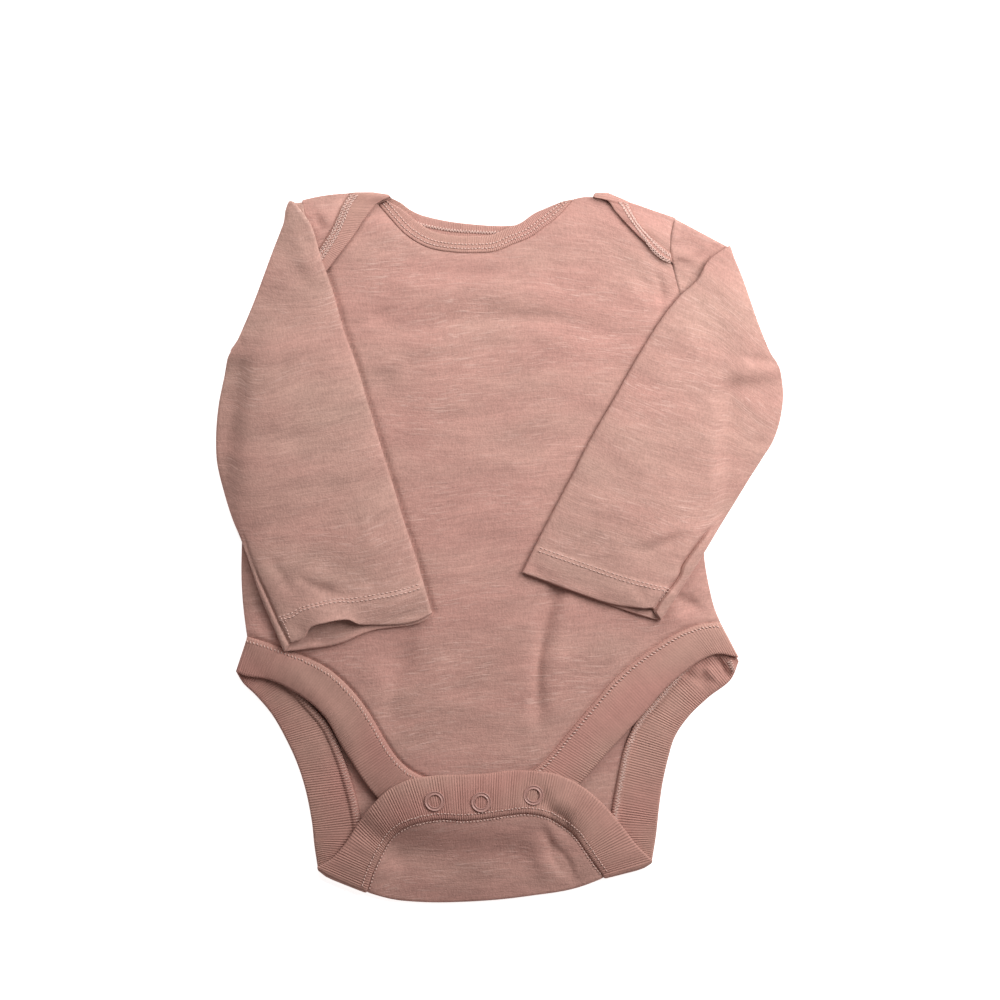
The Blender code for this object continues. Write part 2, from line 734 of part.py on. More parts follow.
def outline_of(table):
    """Closed outline of a piece whose table gives both its edges."""
    rows = np.array(table)
    return np.concatenate([rows[:, :2], rows[::-1, 2:]])


def circle(place, width):
    """Points round a circle."""
    turns = np.linspace(0, 2 * math.pi, SNAP_SIDES, endpoint=False)
    return np.array(place) + width / 2 * np.c_[np.cos(turns), np.sin(turns)]


def seat(surface, place, width):
    """Height at which a round piece lies clear of the cloth under it."""
    under = np.concatenate([circle(place, width * part) for part in (0.0, 0.5, 1.0)])
    return read(surface, under).max() + SNAP_GAP


def make_disc(name, place, height, profile, material):
    """A turned piece on an upright axis. profile holds radius and height of its section's corners."""
    points = []
    for radius, rise in profile:
        points.append(np.c_[circle(place, 2 * radius), np.full(SNAP_SIDES, height + rise)])
    faces = []
    for k in range(len(profile)):
        low, high = k * SNAP_SIDES, (k + 1) % len(profile) * SNAP_SIDES
        for i in range(SNAP_SIDES):
            j = (i + 1) % SNAP_SIDES
            faces.append([low + i, low + j, high + j, high + i])
    return new_object(name, np.concatenate(points), faces, material)


def ring_profile():
    """Section of a snap's ring, with its outer shoulder eased off."""
    inner, outer = SNAP_HOLE / 2, SNAP_OUTER / 2
    ease = SNAP_HEIGHT / 2
    return (
        (inner, 0.0),
        (outer, 0.0),
        (outer, SNAP_HEIGHT - ease),
        (outer - ease, SNAP_HEIGHT),
        (inner + ease, SNAP_HEIGHT),
        (inner, SNAP_HEIGHT - ease),
    )


def stud_profile():
    """Section of a snap's stud and socket, pressed together round a small eyelet."""
    return (
        (STUD_EYE / 2, 0.0),
        (STUD_WIDTH / 2, 0.0),
        (STUD_WIDTH / 2, STUD_HEIGHT),
        (STUD_EYE / 2, STUD_HEIGHT),
    )


def centre(objects):
    """Moves the garment so that the middle of its box's floor is at the origin."""
    bpy.context.view_layer.update()
    corners = np.array([obj.matrix_world @ Vector(c) for obj in objects for c in obj.bound_box])
    low, high = corners.min(0), corners.max(0)
    for obj in objects:
        obj.location = (-(low[0] + high[0]) / 2, -(low[1] + high[1]) / 2, -low[2])


def main():
    for obj in list(bpy.data.objects):
        bpy.data.objects.remove(obj, do_unlink=True)
    jersey = new_material("jersey", PINK, 0.9)
    rib = new_material("rib", PINK_RIB, 0.9)
    enamel = new_material("enamel", PINK_ENAMEL, 0.45)
    steel = new_material("steel", STEEL, 0.35, 1.0)

    back, back_left, back_right, back_neck = back_plan()
    front, front_leg, front_neck = front_plan()
    lap_left, binding_left = lap_plan(LAP_LEFT, back[0][: SHOULDER_COLUMNS + 1], True)
    lap_right, binding_right = lap_plan(LAP_RIGHT, back[0][-SHOULDER_COLUMNS - 1 :], False)
    binding_left = np.concatenate([binding_left, [LAP_END_LEFT]])
    binding_right = np.concatenate([binding_right, [LAP_END_RIGHT]])
    flap_band, flap_left, flap_end, flap_right = track(
        FLAP_BAND, FLAP_CORNERS, FLAP_ROWS, column_shares(back[0])
    )
    flap = grid(flap_left[:, :2], flap_right[:, :2], back[-1], flap_end[:, :2], FLAP_REACH)
    armholes = (
        armhole_plan(SLEEVE_LEFT, slice(0, 2), -ARMHOLE_GAP),
        armhole_plan(SLEEVE_RIGHT, slice(2, 4), ARMHOLE_GAP),
    )

    # On the floor
    top = np.zeros(CELL_X.shape)
    lay(top, rim(back), 0.0, JERSEY)
    lay(top, rim(strip(back_neck)), 0.0, BINDING)
    for leg in (back_left, back_right):
        lay(top, rim(strip(leg)), 0.0, RIB)

    # The front, its band and its binding
    fronts = ((front, JERSEY), (strip(front_leg), RIB), (strip(front_neck), BINDING))
    area = np.any([inside(rim(plan)) for plan, _ in fronts], axis=0)
    rise = loft(area, FRONT_LOFT, FRONT_DOME) + sum(crease(*row) for row in FRONT_CREASES)
    under_front = draped(top) + np.maximum(rise, 0.0)
    made = make_front(front, front_leg, front_neck, under_front, jersey, rib)
    for plan, thickness in fronts:
        lay(top, rim(plan), under_front, thickness)
    for armhole, table in zip(armholes, (SLEEVE_LEFT, SLEEVE_RIGHT)):
        fold = np.array(table[0]).reshape(2, 2)
        lay(top, np.concatenate([armhole, fold[::-1]]), 0.0, 2 * JERSEY + LAYER_GAP)
    studs = [seat(under_front + RIB, place, STUD_WIDTH) for place in SNAP_PLACES]
    for k, (place, height) in enumerate(zip(SNAP_PLACES, studs), 1):
        made.append(make_disc(f"snap_stud_{k}", place, height, stud_profile(), steel))
        lay(top, circle(place, STUD_WIDTH), height, STUD_HEIGHT)

    # The laps and the flap
    flaps = ((flap, JERSEY), (strip(flap_band), RIB))
    area = np.any([inside(rim(plan)) for plan, _ in flaps], axis=0)
    under_flaps = draped(top) + loft(area, FLAP_LOFT, FLAP_DOME)
    made.append(make_back(back, flap, (lap_left, lap_right), under_flaps, jersey))
    made.append(make_back_band(back_left, back_right, flap_band, under_flaps, rib))
    made.append(make_back_binding(back_neck, binding_left, binding_right, under_flaps, rib))
    for plan, thickness in (
        *flaps,
        (lap_left, JERSEY),
        (lap_right, JERSEY),
        (strip(binding_left), BINDING),
        (strip(binding_right), BINDING),
    ):
        lay(top, rim(plan), under_flaps, thickness)
    for k, place in enumerate(SNAP_PLACES, 1):
        height = seat(under_flaps + RIB, place, SNAP_OUTER)
        made.append(make_disc(f"snap_ring_{k}", place, height, ring_profile(), enamel))

    # The sleeves
    under_sleeves = draped(top)
    for name, table, armhole, cuff in (
        ("sleeve_left", SLEEVE_LEFT, armholes[0], CUFF_LEFT),
        ("sleeve_right", SLEEVE_RIGHT, armholes[1], CUFF_RIGHT),
    ):
        space = LAYER_GAP + loft(inside(outline_of(table)), SLEEVE_LOFT, SLEEVE_DOME)
        made.append(
            make_sleeve(
                name, table, armhole, cuff, lambda at: (read(under_sleeves, at), read(space, at)), jersey
            )
        )
    centre(made)


main()
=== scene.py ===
"""The looks of a baby's long-sleeved bodysuit that lies flat, front up, with both sleeves folded over.

Every piece of cloth is a thin wall: rows of points on its right side and on its wrong side. The pieces are
laid from the floor up. A height map holds the top of what lies there already, and the next layer rests on
a softened copy of it. Tables are in millimetres, in the garment's own plan: +Y to the neck, +Z up, left and
right as seen from above. The meshes are in metres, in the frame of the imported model.
"""

import json
import math
from collections import namedtuple

import bpy
import numpy as np
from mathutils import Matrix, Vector

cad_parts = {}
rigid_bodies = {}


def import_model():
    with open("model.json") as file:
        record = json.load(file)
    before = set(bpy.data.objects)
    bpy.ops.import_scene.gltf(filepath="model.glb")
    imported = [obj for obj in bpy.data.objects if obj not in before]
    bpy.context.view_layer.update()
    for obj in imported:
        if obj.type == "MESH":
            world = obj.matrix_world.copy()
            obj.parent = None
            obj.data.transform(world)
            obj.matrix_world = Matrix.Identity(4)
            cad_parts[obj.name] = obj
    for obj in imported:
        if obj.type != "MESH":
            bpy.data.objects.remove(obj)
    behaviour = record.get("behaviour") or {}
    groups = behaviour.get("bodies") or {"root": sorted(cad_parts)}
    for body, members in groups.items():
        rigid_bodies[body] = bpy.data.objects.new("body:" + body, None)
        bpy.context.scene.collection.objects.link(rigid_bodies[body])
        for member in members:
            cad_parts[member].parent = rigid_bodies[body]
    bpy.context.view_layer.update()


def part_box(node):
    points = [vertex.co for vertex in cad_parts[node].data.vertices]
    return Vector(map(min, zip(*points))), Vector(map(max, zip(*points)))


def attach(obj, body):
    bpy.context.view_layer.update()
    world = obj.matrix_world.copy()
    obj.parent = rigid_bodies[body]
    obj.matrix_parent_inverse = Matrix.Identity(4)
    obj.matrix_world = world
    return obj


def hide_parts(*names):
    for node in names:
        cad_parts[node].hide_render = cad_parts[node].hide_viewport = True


MM = 0.001  # metres in a millimetre

# ---------------------------------------- cloth sizes

JERSEY = 1.0
RIB = 2.0  # leg bands, two layers of rib
BINDING = 1.8
HEM = 1.2  # sleeve end, turned in once
SEAM_GAP = -0.3  # cloth reaches into its neighbour at a seam, so that no light leaks through
ARMHOLE_GAP = -0.4
LAYER_GAP = 0.25
FRONT_LOFT = 2.6
FLAP_LOFT = 1.2
SLEEVE_LOFT = 2.2
PUFF = (0.8, 2.0)  # how far cloth rises away from a seam, and over what distance
LEG_PUFF = (1.0, 1.3)
FLAP_PUFF = (0.4, 1.1)
NECK_PUFF = (0.9, 0.3)  # share of PUFF beside the front's neck, and what is added
EDGE_LOFT = 0.8
NECK_FLATTENED = (12.0, 0.75)  # the front is flatter near its neck: over what distance, and by what share
SLEEVE_GROOVE = (1.5, 1.7)  # groove in the front along the left sleeve's inner edge: width, depth
LAP_ROLL = (-60.0, 180.5, 4.5, 1.1)  # the left lap stands off the front here: x, y, how wide, how high
LAP_BULGE = 0.5
UP_THE_NECK = np.array([0.0, 1.0, 0.0])
FLAP_RISE = 0.2  # how far the flap stands off the front at its seam
# Layers are pressed down at the shoulders: over what distance, by what share the front, by what share laps
SHOULDER_PINCH = (6.0, 0.3, 0.35)
LAP_LEVEL = 100  # laps lie above it in plan, and the flap below it
SNAP_DIP = 0.4  # how deep the flap is pressed in round a snap
HEM_DEPTH = 15.0
HEM_STEP = 0.8
HEM_ROLL = 0.6  # how much thicker a sleeve's end is
MOUTH_RIM = 1.2  # how far the far layer's rolled end stands up inside the mouth
SLEEVE_EDGE = 1.7  # radius in plan of a flat sleeve's folded long edges

RIB_PITCH = 1.3  # from ridge to ridge on the leg bands
RIB_HEIGHT = 0.2
BINDING_PITCH = 0.95
BINDING_HEIGHT = 0.1
ALLOWANCE = (4.2, 0.7)  # width and height of the seam allowance that shows inside the back leg bands

LEG_SEWING = (2.2,)  # rows of stitches on the bands, as distances from the seam
NECK_SEWING = (2.1, 4.3)
FLAP_SEWING = (-0.9, 3.1)
LAP_SEWING = (0.9, 4.6)
INSIDE_SEWING = (4.9,)
SEWING_DEPTH = 0.3  # how deep a row of stitches is drawn in
FLAP_DEPTH = 0.15
LAP_DEPTH = 0.12
INSIDE_DEPTH = 0.6

SNAP_OUTER = 10.5
SNAP_HOLE = 6.3
STUD_WIDTH = 9.0
STUD_HEIGHT = 1.2
SNAP_PLACES = ((-33.5, -130.5), (-9.5, -131.0), (17.5, -127.5))

# ---------------------------------------- outlines

# Both side edges of the body, shoulder to leg: left x, left y, right x, right y
BODY_SIDES = np.array((
    (-102.5, 179.6, 91.2, 171.2), (-100.5, 164, 88.7, 157), (-104.5, 148, 92, 139.5),
    (-114, 125, 99.8, 113.5), (-122, 105, 109, 91.5), (-127, 77, 109, 64), (-131.5, 40.5, 108, 27.5),
    (-133.8, 3, 106.5, -7), (-134, -16.5, 109, -21), (-133, -31.5, 111.5, -31), (-131, -46, 114.5, -38.5),
))
ARMPIT_ROW = 4  # row of BODY_SIDES where the armholes end

# Top edge of the front under the shoulder laps: x, y
FRONT_SHOULDER_LEFT = np.array(((-102.5, 178.5), (-93.5, 180), (-80, 181.6), (-70, 181.2), (-62.5, 178)))
FRONT_SHOULDER_RIGHT = np.array((
    (38, 181), (43, 182.1), (52, 181.6), (67.5, 177.2), (79, 173.4), (91.2, 169.6),
))

# Neck bindings of the front and of the back: seam x, seam y, free edge x, free edge y
FRONT_NECK = np.array((
    (-62.5, 178, -58.5, 180.4), (-56.5, 171, -50.8, 175.9), (-49, 163, -43.5, 169.9),
    (-38.5, 156.5, -35.2, 164.7), (-23.5, 153.5, -22.7, 162.2), (-12.5, 153.2, -13, 162),
    (-2.5, 154, -4.4, 162.6), (7.5, 158, 4.2, 166.2), (15, 161, 10.8, 168.7), (23, 166.5, 17.7, 173.5),
    (31, 173, 25, 176.8), (38, 181, 32.5, 179.9),
))
BACK_NECK = np.array((
    (-78, 183.5, -56.5, 182), (-69, 175.5, -51.5, 179.5), (-57, 168, -46.5, 175.8),
    (-44, 162.8, -40.5, 173), (-30.5, 159.7, -29, 170.2), (-14.5, 158.2, -14.5, 168.3), (2, 158, 2, 167.4),
    (17.5, 160.5, 15, 168.8), (31.5, 165.5, 27, 173.5), (44, 170.5, 36.5, 177.6), (56, 175, 43, 180.4),
    (67, 178.8, 48.4, 181.8),
))

# Shoulder folds of the back, where it turns over to the front: x, y
BACK_SHOULDER_LEFT = np.array(((-102.5, 179.8), (-93.5, 181.8), (-78, 183.5)))
BACK_SHOULDER_RIGHT = np.array(((67, 178.8), (79, 174.7), (91.2, 170.6)))

# Shoulder laps on the front, from the fold down: armhole x, y, seam x, y, free edge x, y
LAP_LEFT = np.array((
    (-102.5, 179.8, -78, 183.5, -56.5, 182), (-101.6, 175.5, -81.2, 178.4, -63, 178.9),
    (-100.9, 170.5, -84, 171.8, -69, 171.8), (-99.8, 161, -88.3, 162.8, -76.6, 160.5),
    (-98.5, 155, -92.4, 156.5, -83.5, 151.5), (-97.5, 150, -96, 151, -90.6, 142.2),
))
LAP_RIGHT = np.array((
    (91.2, 170.6, 67, 178.8, 48.4, 181.8), (90.2, 166.5, 68.6, 174.5, 55.4, 180.2),
    (89.4, 163, 72.2, 168, 59.9, 174.4), (88.9, 160, 77, 162.3, 67.8, 165.6),
    (88.6, 157, 82.6, 157.5, 77.8, 156), (89.4, 153.2, 88.8, 152.6, 89.5, 147.8),
))

LAPS = (LAP_LEFT, LAP_RIGHT)

# Leg bands: seam x, seam y, free edge x, free edge y. The front's runs left leg, crotch, right leg.
FRONT_LEG = np.array((
    (-131, -46, -136.4, -64.3), (-124, -48, -131.5, -66.3), (-113.5, -51.5, -121.5, -67.8),
    (-99.5, -57, -110, -72.5), (-87, -64, -98.5, -80), (-75.5, -75, -90, -88.5), (-67, -86.5, -83.5, -100),
    (-59.5, -99.5, -77, -110.5), (-53, -109, -69.5, -122), (-46.5, -115, -62, -131),
    (-37, -119.5, -49, -138), (-23.5, -122.5, -30, -142.5), (-9, -123, -7.5, -144), (4.5, -121.5, 15, -141),
    (14, -117.5, 29.5, -132.5), (23.5, -110, 42.5, -121.5), (34.5, -97, 53, -109.5), (48, -81, 64.5, -97),
    (59, -68.5, 75.5, -85), (69.5, -59, 85.5, -73.5), (80, -51.5, 95.5, -64.5), (90.5, -45, 105, -58),
    (104.5, -39.5, 114.5, -55), (114.5, -38.5, 124.2, -57),
))
FRONT_CROTCH = (10, 14)  # rows of FRONT_LEG between which the crotch end runs
BACK_LEG_LEFT = np.array((
    (-131, -46, -137, -64.2), (-123.5, -53, -133.6, -69.8), (-113, -63.5, -127, -76.3),
    (-99.5, -79, -118, -87), (-88, -93, -111, -99.3), (-81.5, -107.5, -105.4, -111.5),
    (-76.5, -123, -100.8, -126), (-73, -137, -97.8, -141), (-70.5, -157, -96.3, -154.5),
    (-68.5, -177, -94.6, -165.6),
))
BACK_LEG_RIGHT = np.array((
    (114.5, -38.5, 124.3, -59), (106, -48.5, 120.6, -67.8), (94, -62.5, 108.5, -77.7),
    (81, -77.5, 97.5, -88.5), (70.5, -90.5, 90.8, -98.8), (65, -103, 87.6, -109.3),
    (62, -116, 84.8, -121.8), (59.5, -129, 83, -134), (56.5, -150, 81.3, -149.5),
    (53.5, -169.5, 79.3, -162),
))

# Crotch fold of the back, where it turns up to become the flap: x, y
CROTCH_FOLD = np.array((
    (-68.5, -177), (-54, -181.3), (-39.5, -182.6), (-18, -182.4), (0, -181.2), (16.5, -179.2),
    (39.5, -175.2), (53.5, -169.5),
))
ROLL_CENTRE = (-8.0, 25.0)  # the crotch fold bulges away from here

# Back leg band on the flap, from the left end of the fold over to the right: seam x, y, free x, y
FLAP_BAND = np.array((
    (-68.5, -177, -94.6, -165.6), (-66.2, -169.5, -86.8, -160.8), (-63.5, -163, -80.3, -153.5),
    (-60.5, -157, -74.2, -144), (-56.5, -150.5, -68, -135.5), (-50, -145, -59.5, -126.5),
    (-40.5, -141.5, -48, -120), (-30, -140, -34, -117.5), (-18, -140.5, -19, -117),
    (-7.5, -139.5, -7, -116.5), (3, -138, 4.5, -115), (14, -137, 17, -115), (24.5, -139, 30, -117),
    (33, -144, 43, -123.5), (39, -149, 54, -133), (44, -156, 63, -143.5), (49, -163.3, 72, -155),
    (53.5, -169.5, 79.3, -162),
))
FLAP_CORNERS = (4, 14)  # rows of FLAP_BAND where the flap's seam turns across the top

# Sleeves on top of the front, fold to cuff: inner edge x, y, outer edge x, y
SLEEVE_LEFT = np.array((
    (-106.2, 179.2, -139.4, 102), (-98.2, 168.5, -141.2, 98.4), (-92.6, 151.5, -143.2, 88.5),
    (-86.3, 133, -146, 74.5), (-80, 111, -147.4, 57), (-73.8, 94, -146.8, 44), (-68.7, 77, -143.5, 30),
    (-62.7, 57, -139.2, 16.5), (-56, 35.5, -134.4, 5.3), (-49.8, 15, -129.5, -8),
    (-44, -2.5, -124.4, -23.5), (-35, -33, -112.2, -51),
))
SLEEVE_RIGHT = np.array((
    (118.5, 156.5, 143.7, 95.8), (109.3, 150.2, 145.5, 92.8), (102.8, 139.5, 147.4, 81),
    (93, 130.3, 146, 67.5), (84, 119, 142.4, 56.2), (73.5, 102.5, 136.6, 46.6), (59, 77, 129.2, 35),
    (47.2, 56.7, 121, 21.6), (37.6, 37.8, 112.2, 7.6), (29, 21.7, 103.4, -6.6), (21.2, 6.7, 95.5, -19),
    (11.5, -12.5, 84, -36),
))
# Where a sleeve's fold runs inside the straight line between its ends, and how far it bulges out, as a share
# of half its height: share of the way along the fold, amount
FOLD_BOW = np.array(((0, 0), (0.3, 0.1), (0.5, 0.9), (0.65, 1.5), (0.8, 1.7), (0.92, 1.4), (1, 0)))
FOLD_BULGE_LEFT = np.array(((0, 0.9), (0.07, 0.8), (0.14, 0.35), (1, 0.25)))
FOLD_BULGE_RIGHT = np.array(((0, 0.5), (0.1, 0.3), (1, 0.25)))
FOLD_EASE = 12.0
CAP_CREASES = (
    (((89.5, 151), (96, 147.5), (104, 142.5)), 1.6, -0.9), (((91, 154.5), (98, 151), (106, 146)), 2.6, 0.6),
    (((111, 156.5), (105.8, 150.2), (101, 143), (96.5, 138.5)), 3, -2.9),
    (((96, 165), (104, 160), (112, 157)), 4, 0.5),
)
# Cuff edges: share of the way across from the inner edge, how far the top layer and the bottom layer
# reach past the straight line between the cuff's two corners
CUFF_LEFT = np.array((
    (0, 0.6, 0.6), (0.04, 1.6, 3.2), (0.1, 2.8, 4.2), (0.18, 2.9, 4.1), (0.3, 1.4, 3), (0.41, -0.6, 2.5),
    (0.48, -2.2, 3.2), (0.545, -6, 4.4), (0.6, -6.8, 5.2), (0.7, -7, 5.6), (0.77, -6.9, 5.2),
    (0.81, -5.6, 4.8), (0.86, -1.6, 4.2), (0.915, -1.2, 3.6), (0.955, -0.4, 3.2), (1, 2.6, 2.6),
))
CUFF_RIGHT = np.array((
    (0, 0.2, 0.4), (0.15, 0.6, 0.9), (0.29, 1, 1.3), (0.45, 1.4, 1.6), (0.58, 1.6, 1.9), (0.7, 0.9, 2.2),
    (0.78, -0.3, 2.4), (0.86, -1.6, 2.4), (0.92, -3.1, 2.2), (0.955, -1, 2), (1, 1.5, 1.5),
))
CUFF_EASE = 38.0  # length over which the sleeve follows its cuff's edges
# How far each cuff's mouth stands open: where, over what width, and how high
MOUTH_LEFT = (0.67, 0.17, 5.4)
MOUTH_RIGHT = (0.86, 0.1, 2.0)

# ---------------------------------------- creases

# Each crease: its points in plan, half width, height above (or below) the cloth round it
FRONT_CREASES = (
    (((37, -4), (31.2, -16.9), (23.6, -37.5), (20.5, -55.7), (19.4, -71.9), (20, -90)), 3.4, -2.7),
    (((40, -20), (32, -42), (28.5, -62), (27, -80)), 5, 1.3), (((14, -30), (11, -52), (9.5, -74)), 7, 0.75),
    (((-44.5, -38), (-51, -56), (-55.5, -74), (-57, -86)), 6.5, -2.1), (((-30, -50), (-36, -80)), 9, 0.75),
    (((90, -24), (98, -28.5), (106, -33.5)), 3, -1.8), (((86, -32), (96, -38)), 3.5, 0.75),
    (((-60, 113), (-31, 117.5), (0, 119.5), (31, 117.5), (62, 112)), 6, -1.9),
    (((-62, 144.5), (-30, 142), (8, 143.5)), 5, -1.3), (((-40, 128), (0, 131), (45, 128)), 7, 0.8),
    (((-77, 113), (-66, 119), (-52, 124)), 3.4, -1.2), (((-65, 82), (-55, 91), (-41, 97)), 4.2, -1.1),
    (((-70, 60), (-30, 66), (10, 62)), 9, -0.8), (((62, 150), (75, 138), (84, 128)), 4, -0.9),
    (((81.5, 142), (84, 133), (83, 123)), 2.4, -1.5), (((-30, -2), (0, 3), (28, -4)), 8, -0.8),
    (((-118, -20), (-126, -38)), 4, -0.9),
)
# On the shoulder laps
LAP_CREASES = (
    (((-98, 176), (-94, 169), (-89, 162)), 2, -0.7), (((-95, 178.5), (-90, 172), (-86.5, 167)), 2.4, 0.5),
    (((74, 173.5), (82, 166.5), (87, 160)), 3, -0.5),
)
# Inside the right leg opening, where the seams bunch up on the back's band
TIP_CREASES = (
    (((108, -58), (105.6, -66.5), (103, -72.5)), 2.4, -1.7),
    (((99.5, -62.5), (98, -66.5), (95.5, -71)), 2.4, -1.3),
    (((110.5, -57.5), (109.4, -64.5), (114, -69.5)), 1.9, 1.5),
    (((113, -56.5), (115.3, -60.5), (118.6, -66.5)), 1.5, -3),
    (((120.6, -58), (121.8, -61.5), (121, -65)), 1.6, 1.6),
    (((106.5, -74), (112.5, -71), (117.5, -68.8)), 1.6, 0.6),
)
# Both sides of the zigzag where the seam ends there
SEAM_END = np.array((
    ((117.6, -58.6), (119, -62), (120.8, -65.4)), ((120.6, -58), (121.6, -61), (122.2, -63.6)),
))
FLAP_CREASES = (
    (((21.5, -128.5), (29.3, -138.9), (37.6, -149.3)), 3.4, -2.3),
    (((29, -127), (38, -138), (46, -148)), 4.5, 0.95),
    (((23, -146), (27.5, -156), (34, -165.5), (41, -174.5)), 3, -2.6),
    (((17, -149), (20, -160), (27, -172)), 5, 1.1), (((-54, -156), (-50, -168)), 5, -0.7),
    (((-79, -160), (-68, -146)), 5, 0.7), (((-30, -160), (-8, -163), (8, -160)), 8, 0.7),
)
SLEEVE_LEFT_CREASES = (
    (((-118.4, -5.8), (-113, -14), (-107.9, -22.5)), 2.8, -1.08),
    (((-103.5, -16), (-93, -21), (-81, -24.5)), 2.4, -1.2),
    (((-104, -10), (-90, -15), (-78, -19)), 4, 0.72),
    (((-132.5, 109.5), (-136, 105.5), (-139, 101)), 2.2, -1.44),
    (((-108.5, 171), (-102, 163), (-98, 156)), 2.2, -0.96), (((-128, 62), (-112, 56), (-98, 58)), 8, -0.6),
    (((-92, 98), (-108, 104), (-124, 102)), 9, 0.6), (((-70, 36), (-92, 28), (-112, 30)), 9, -0.54),
    (((-62, 8), (-80, 4)), 7, 0.6), (((-58, -10), (-70, -22)), 4, -0.6),
)
SLEEVE_RIGHT_CREASES = (
    (((95.9, 5.8), (88, 3), (81.1, 0.4), (72.5, -3.7)), 3, -1.44),
    (((98, 12), (86, 8.5), (76, 4)), 4, 0.84), (((124, 99.5), (134, 97.5), (145.5, 95)), 2.4, -1.32),
    (((120, 92), (134, 90)), 5, 0.72), (((138, 58), (130, 49), (126, 42)), 2.6, -0.96),
    (((130, 64), (122, 54)), 4, 0.6), (((84, 106), (100, 92), (116, 86)), 9, -0.72),
    (((66, 66), (84, 54), (98, 50)), 9, 0.6), (((52, 38), (74, 26)), 8, -0.54),
    (((70, -20), (76, -28)), 3, -0.84),
)
# The underarm seam shows just inside each sleeve's outer edge, near the cuff: x, y
UNDERARM_LEFT = np.array((
    (-134, 10), (-131.9, 4.1), (-125.9, -12.6), (-120.5, -24.5), (-115.2, -36.5), (-108.6, -49.5),
))
UNDERARM_RIGHT = np.array((
    (110.5, 12), (103.1, 3), (97.5, -4.5), (94.3, -9.5), (92.9, -14.6), (90.2, -18.2), (86, -23.5),
    (82.8, -27.6), (79, -34.5),
))
UNDERARM_WIDTH = 0.6
# How deep the seam lies, and how high its banks are
DITCH_LEFT = (1.2, 0.45)
DITCH_RIGHT = (2.4, 1.0)
UNDERARM_ZONE = 8.5  # points lie closer together up to here from the outer edge
UNDERARM_STEP = 0.45
TACK_INSET = 6.5  # tack stitches from a sleeve's outer edge

# ---------------------------------------- fine grids

STEP = 1.5  # between neighbouring points of a panel
FINE_STEP = 0.65
SLEEVE_STEP = 1.5
LEG_COLUMNS = (5.5, 6)  # how far from the seam a band's points lie close together, and how many lie beyond
NECK_COLUMNS = (5.0, 3)
RIM = (0.0, 0.08, 0.35, 0.8, 1.4)  # where points lie off a rounded edge, in radii of the edge
THIN = 0.08  # share of the thickness left at the very edge
FOLD_STEPS = 8
NECK_REACH = 120.0  # how far from a curved edge the rows still bend
LAP_REACH = 30.0
FLAP_REACH = 45.0

CELL = 1.0
CORNER_RADIUS = 8.0  # rounded corners where bindings and leg bands turn over
LEG_CORNER_RADIUS = 10.0

MAP_X = np.arange(-164.0, 165.0, CELL)
MAP_Y = np.arange(-204.0, 205.0, CELL)
CELL_X, CELL_Y = np.meshgrid(MAP_X, MAP_Y)
FRONT_DRAPE = (6, 2)  # cells over which each layer stands off an edge beneath it, and is softened
LAP_DRAPE = (3, 1)
FLAP_DRAPE = (10, 4)
EDGE_CELLS = 3  # cells over which creases fade at a part's edges
FRONT_DOME = 12  # cells over which each part's loft rises from its edges
FLAP_DOME = 6
SLEEVE_DOME = 8
DOME_SHAPE = 0.8
UNEVEN = ((9, 0.16, 3), (4, 0.05, 4))  # softness in cells, size and seed of the cloth's small unevenness

CHAOS = np.random.default_rng(11)

# ---------------------------------------- curves


def running(points):
    """Length along points, from the first to each."""
    return np.r_[0.0, np.cumsum(np.linalg.norm(np.diff(points, axis=0), axis=1))]


def reaches(points, axis):
    """Length along a grid's rows (axis 1) or down its columns (axis 0), up to each point."""
    steps = np.linalg.norm(np.diff(points, axis=axis), axis=2)
    return np.insert(np.cumsum(steps, axis), 0, 0.0, axis)


def shares(table):
    """Share of a table's whole length at which each of its rows lies."""
    return running(table) / running(table)[-1]


def unit(vectors):
    return vectors / np.linalg.norm(vectors, axis=-1, keepdims=True)


def bell(distance, width):
    """1 at no distance, and less and less over a width."""
    return np.exp(-((distance / width) ** 2))


def below(place, width, height):
    """The height where a place is under 0, and nothing where it is over 0, with a soft step between."""
    return height / (1 + np.exp(np.minimum(place / width, 99.0)))


def smooth(table, at):
    """Points on a smooth curve through a table's rows, at given shares of its length."""
    rows = np.array(table, float)
    reach = running(rows)
    slope = np.gradient(rows, reach, axis=0)
    place = reach[-1] * np.asarray(at)
    k = np.clip(np.searchsorted(reach, place, "right") - 1, 0, len(rows) - 2)
    span = (reach[k + 1] - reach[k])[:, None]
    f = (place - reach[k])[:, None] / span
    ends = rows[k] * (1 + 2 * f) * (1 - f) ** 2 + rows[k + 1] * (3 - 2 * f) * f**2
    return ends + span * (slope[k] * f * (1 - f) ** 2 - slope[k + 1] * (1 - f) * f**2)


def fine(table, step=0.5):
    """A smooth curve through a table's rows as close points."""
    return smooth(table, np.linspace(0, 1, int(running(table)[-1] / step) + 2))


def points_at(line, reach, at):
    """Points of a line at given lengths, where reach is the length at each of its own points."""
    return np.stack([np.interp(at, reach, column) for column in line.T], 1)


def even(points, step):
    """Points a given distance apart along a line of points."""
    reach = running(points[:, :2])
    return points_at(points, reach, np.linspace(0, reach[-1], max(2, round(reach[-1] / step) + 1)))


def spaced(length, step, radius):
    """Places from 0 to length, a step apart, and closer together at both rounded ends."""
    ends = np.array(RIM) * radius
    middle = np.linspace(ends[-1], length - ends[-1], max(2, round((length - 2 * ends[-1]) / step) + 1))
    return np.r_[ends[:-1], middle, (length - ends[:-1])[::-1]]


